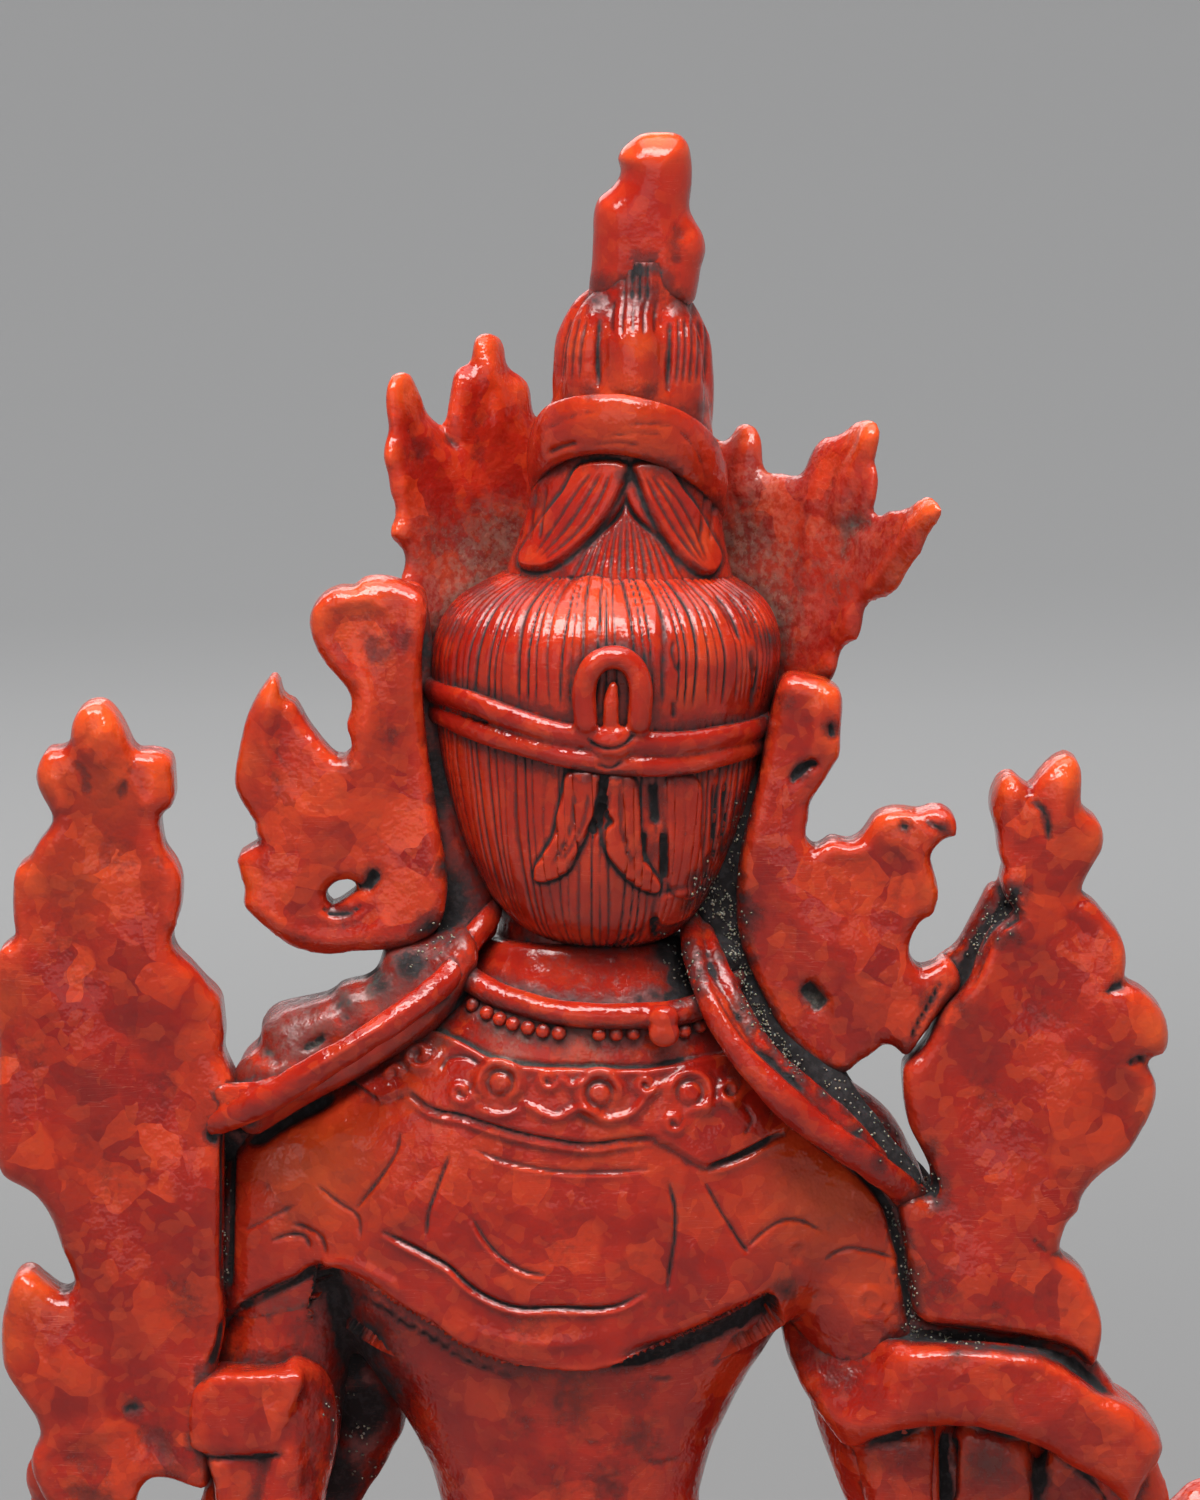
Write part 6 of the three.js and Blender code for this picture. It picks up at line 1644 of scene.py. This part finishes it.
def elbow_folds():
    """The broad folds of the scarf at each elbow and the drapes that hang from them."""

    def right_back(x, z):
        """The right fold falls back beyond her elbow, towards its foot and where it meets her arm."""
        beyond, lower = np.maximum(0, x + 17.5), np.maximum(0, 65 - z)
        meeting = 0.45 * np.maximum(0, z - 63.5) * np.clip((x + 18.7) / 2.4, 0, 1)
        return 13.3 + 0.15 * np.sin(0.5 * x) - 0.42 * beyond - 0.12 * lower - meeting

    right_fold = slab([
        (784, 1304), (826, 1314), (866, 1328), (901, 1345), (950, 1347), (995, 1349), (1044, 1357), (1076, 1379),
        (1100, 1397), (1125, 1407), (1149, 1425), (1165, 1449), (1160, 1468), (1143, 1492), (1133, 1512),
        (1103, 1487), (1063, 1465), (1036, 1449), (985, 1433), (931, 1431), (888, 1439), (849, 1452), (827, 1426),
        (802, 1388), (787, 1356),
    ], thick=8.0, back=right_back, soft=1.3)
    left_fold = slab([
        (201, 1381), (219, 1374), (252, 1374), (303, 1374), (301, 1392), (295, 1410), (283, 1438), (273, 1455),
        (240, 1458), (219, 1457), (190, 1453), (178, 1446), (173, 1427), (183, 1396),
    ], thick=8.0, back=lambda x, z: 12.3 + 0.22 * np.maximum(0, 25.4 - x) - 0.9 * np.maximum(0, x - 24.4), soft=0.8)
    left_low = slab([
        (204, 1450), (240, 1452), (288, 1448), (280, 1475), (268, 1497), (262, 1530), (222, 1530), (211, 1484),
    ], thick=7.0, back=12.6, soft=0.8)
    packing = slab([
        (894, 1312), (940, 1318), (1000, 1326), (1050, 1336), (1084, 1350), (1104, 1372), (1114, 1392), (1106, 1404),
        (1060, 1392), (980, 1366), (900, 1362),
    ], thick=3.0, back=10.4, soft=0.8)
    flank = slab([
        (288, 1364), (312, 1368), (328, 1384), (338, 1410), (338, 1440), (328, 1480), (314, 1530), (258, 1544),
        (262, 1490), (272, 1455), (284, 1420),
    ], thick=7.0, back=lambda x, z: 13.3 - 0.95 * np.maximum(0, 18.6 - x))
    drapes = [
        slab([(850, 1440), (900, 1432), (934, 1430), (936, 1500), (938, 1570), (886, 1570), (862, 1490)],
             thick=6, back=lambda x, z: 10.9 - 0.5 * np.maximum(0, x + 17), soft=1.2),
        slab([(954, 1430), (1000, 1432), (1030, 1448), (1034, 1500), (1040, 1570), (956, 1570)], thick=6, back=9.8,
             soft=1.0),
        slab([(1050, 1450), (1100, 1478), (1122, 1510), (1130, 1570), (1052, 1570)], thick=6, back=9.6, soft=1.2),
        slab([(930, 1430), (1060, 1440), (1070, 1570), (930, 1570)], thick=4, back=7.6, soft=0.8),
        limb(depths([(60, 1470, 8), (80, 1520, 7.8), (110, 1580, 7.2)]), [[2.2, 1.8], [2.4, 1.8], [2.2, 1.6]],
             sides=18),
        limb(depths([(1178, 1524, 6), (1212, 1504, 5), (1246, 1540, 4)]), [1.6, 1.8, 1.6], sides=16),
    ]
    parts = [right_fold, left_fold, left_low, flank, packing, *drapes]
    folds = fused("elbow_folds", parts, voxel=0.34, smooth=2, waves=0.3)
    carve(folds, [
        [[(900, 1358), (950, 1356), (1000, 1360), (1046, 1368), (1084, 1392)], 5, -0.12],
        [[(1063, 1376), (1090, 1396), (1116, 1420)], 5, -0.12], [[(206, 1380), (250, 1380), (298, 1380)], 4, -0.12],
        [[(192, 1457), (230, 1458), (284, 1455)], 2.4, 0.16],
    ], soil_and_shade=0.7)
    # the black slits between the drapes and under the lotus: painted shade with soiling
    carve(folds, [
        [[(890, 1336), (940, 1338), (1000, 1346), (1050, 1354), (1084, 1372), (1104, 1392)], 7, 0.1],
        [[(948, 1436), (948, 1470), (947, 1504)], 8, 0.9],
    ], soil_and_shade=1.6)
    # soil spots: soiling and painted shade in the recesses of the folds
    blot(folds, "soil_and_shade", [
        (1040, 1480, 12, 1.1), (1036, 1466, 10, 0.8), (200, 1372, 8, 0.9), (318, 1440, 26, 0.45),
        (318, 1390, 18, 0.42), (900, 1452, 30, 0.3), (990, 1462, 34, 0.42), (310, 1480, 20, 0.5),
        (830, 1335, 26, 0.3), (800, 1360, 18, 0.4), (812, 1400, 14, 0.4), (838, 1374, 24, 0.5), (815, 1352, 26, 0.5),
    ])
    blot(folds, "grit", [(995, 1462, 34, 0.07)])
    finished(folds, chips=0.85)


def sand():
    """Sand that was never washed out, along its paths: each with how wide it strays and its grains."""
    ground = tree_of(*pieces)
    chance = np.random.default_rng(11)
    grains = []
    for path, wide, count in (
        ([(706, 886), (718, 900), (728, 912)], 11, 60),
        ([(728, 920), (742, 972), (764, 1026), (806, 1074)], 4.5, 120),
        ([(826, 1078), (866, 1116), (900, 1160)], 7, 26),
        ([(890, 1208), (904, 1250), (911, 1290), (913, 1328)], 4, 40),
        ([(900, 1334), (940, 1337), (985, 1341)], 4, 24),
        ([(1012, 896), (994, 918), (975, 948)], 8, 34),
        ([(924, 1170), (934, 1190)], 7, 14),
        ([(227, 1150), (226, 1290)], 2, 14),
        ([(744, 790), (734, 872)], 4, 16),
        ([(346, 1400), (372, 1470)], 14, 24),
        ([(420, 960), (452, 930)], 8, 14),
        ([(676, 950), (690, 990)], 10, 26),
    ):
        line = curve(path, 40) if len(path) > 2 else np.linspace(path[0], path[-1], 40)
        spots = line[chance.integers(0, 40, 2 * count)] + chance.normal(0, wide, (2 * count, 2))
        for place in onto(ground, spots, 0.03):
            grains.append(ball(place, tuple(chance.uniform(0.04, 0.1, 3)), finer=1))
    grit = finished(joined("sand", grains), chips=0)
    paint(grit, "grit", np.ones(len(grit.data.vertices)))


def front_ornaments(body):
    """Her necklaces and bracelets."""
    tree = tree_of(body)
    beads = []
    collar = [(1 + 7.6 * u, 82.4 - 4.4 * (1 - u * u)) for u in (k / 9 for k in range(-9, 10))]
    chain = [(1.6 + 10.4 * u, 79.5 - 14.2 * (1 - abs(u) ** 1.7)) for u in (k / 16 for k in range(-16, 17))]
    for spots, radius in ((collar, 0.6), (chain, 0.55)):
        beads += [ball(place, radius, finer=2) for place in before(tree, spots, 0.1)]
    # the pendants that hang from both
    for x, z, r in ((1, 76.6, 1.3), (-0.4, 78, 0.8), (2.4, 78, 0.8), (1.6, 64.0, 1.4), (1.6, 61.8, 0.8)):
        beads += [ball(place, (r, 0.7 * r, r)) for place in before(tree, [(x, z)], 0.1)]
    radius = 2.9
    for wrist, along in (((12.2, -10, 68.8), (-6.5, -6, 7)), ((-29.2, -12.2, 47.3), (-4, -8, -4.5))):
        beads.append(hoop(wrist, along, radius, 0.7))
        beads.append(hoop(np.array(wrist) + unit(np.array(along, float)) * 1.2, along, radius * 0.97, 0.4))
    finished(joined("ornaments", beads), chips=0.3)


lotus_seat()
crossed_legs()
body = trunk_and_arms()
cape = shawl()
collar_beads = neck_roll_and_beads(tree_of(cape))
head_and_face()
cap = hair_cap()
hair_tie(tree_of(cap))
topknot()
crown()
ear_ribbons()
shoulder_lotuses()
scarf_rolls()
hair_coils()
elbow_folds()
finished(joined("collar_beads", collar_beads), chips=0.3)
sand()
front_ornaments(body)


# HOLLOWS, CRESTS AND JOINS: SOILING, PAINTED SHADE AND PAINTED LIGHT
def hollows_and_crests(piece):
    """Where a piece is hollow and where it stands up, from how it lies against its own softened shape."""
    points, normals = points_of(piece), normals_of(piece)
    count = len(points)
    ends = np.empty(len(piece.data.edges) * 2, np.int32)
    piece.data.edges.foreach_get("vertices", ends)
    a, b = ends.reshape(-1, 2).T
    share = np.maximum(np.bincount(ends, minlength=count), 1)
    soft, marks = points.copy(), []
    fine_steps, broad_steps = 6, 36
    for step in range(1, broad_steps + 1):
        total = np.stack([
            np.bincount(a, soft[b, k], count) + np.bincount(b, soft[a, k], count) for k in range(3)
        ], axis=1)
        soft += 0.6 * (total / share[:, None] - soft)
        if step in (fine_steps, broad_steps):
            marks.append(((points - soft) * normals).sum(axis=1))
    fine, broad = marks
    # hollows are later darkened in the resin with soiling and painted shade; crests are painted a lighter orange as
    # painted light
    paint(piece, "hollow", np.clip(-fine / 0.10, 0, 1) * 0.55 + np.clip(-broad / 0.45, 0, 1) * 0.55)
    paint(piece, "crest", np.clip(fine / 0.10, 0, 1) * 0.5 + np.clip(broad / 0.5, 0, 1) * 0.5)


def contact_dirt_and_shade():
    """Soiling and painted shade where one piece meets another, as far out as reach."""
    reach, margin = 1.2, 1.1
    trees = [tree_of(piece) for piece in pieces]
    boxes = [(points_of(p).min(0) - margin, points_of(p).max(0) + margin) for p in pieces]
    for k, piece in enumerate(pieces):
        points, normals = points_of(piece), normals_of(piece)
        gap = np.full(len(points), reach)
        for j, tree in enumerate(trees):
            if j == k:
                continue
            near = np.flatnonzero(((points > boxes[j][0]) & (points < boxes[j][1])).all(axis=1))
            for i in near.tolist():
                place, _, _, far = tree.find_nearest(points[i], reach)
                if place is None or far >= gap[i]:
                    continue
                # what lies behind the skin leaves neither soiling nor painted shade on it
                if (place - Vector(points[i])) @ Vector(normals[i]) > -0.35 * far:
                    gap[i] = far
        paint(piece, "soil_and_shade", 0.85 * np.clip(1 - gap / reach, 0, 1) ** 1.3)


# how much of a skin's mesh stays once its relief and its painted hollows and crests are on it
KEPT = {"hair_cap": 0.8, "scarf_rolls": 0.8, "topknot": 0.7, "head_and_face": 0.7, "shawl": 0.5,
        "trunk_and_arms": 0.45}
KEPT_OTHERWISE, SMALL = 0.6, 9000
for piece in pieces:
    hollows_and_crests(piece)
    if len(piece.data.vertices) > SMALL:
        modify(piece, "DECIMATE", ratio=KEPT.get(piece.name, KEPT_OTHERWISE))
contact_dirt_and_shade()
# the spots, grooves and joins are added to the hollows, so soiling and painted shade darken the resin together
for piece in pieces:
    soil_and_shade, hollow = (np.empty(len(piece.data.vertices), np.float32) for _ in range(2))
    piece.data.attributes["soil_and_shade"].data.foreach_get("value", soil_and_shade)
    piece.data.attributes["hollow"].data.foreach_get("value", hollow)
    paint(piece, "hollow", hollow + soil_and_shade, most=False)
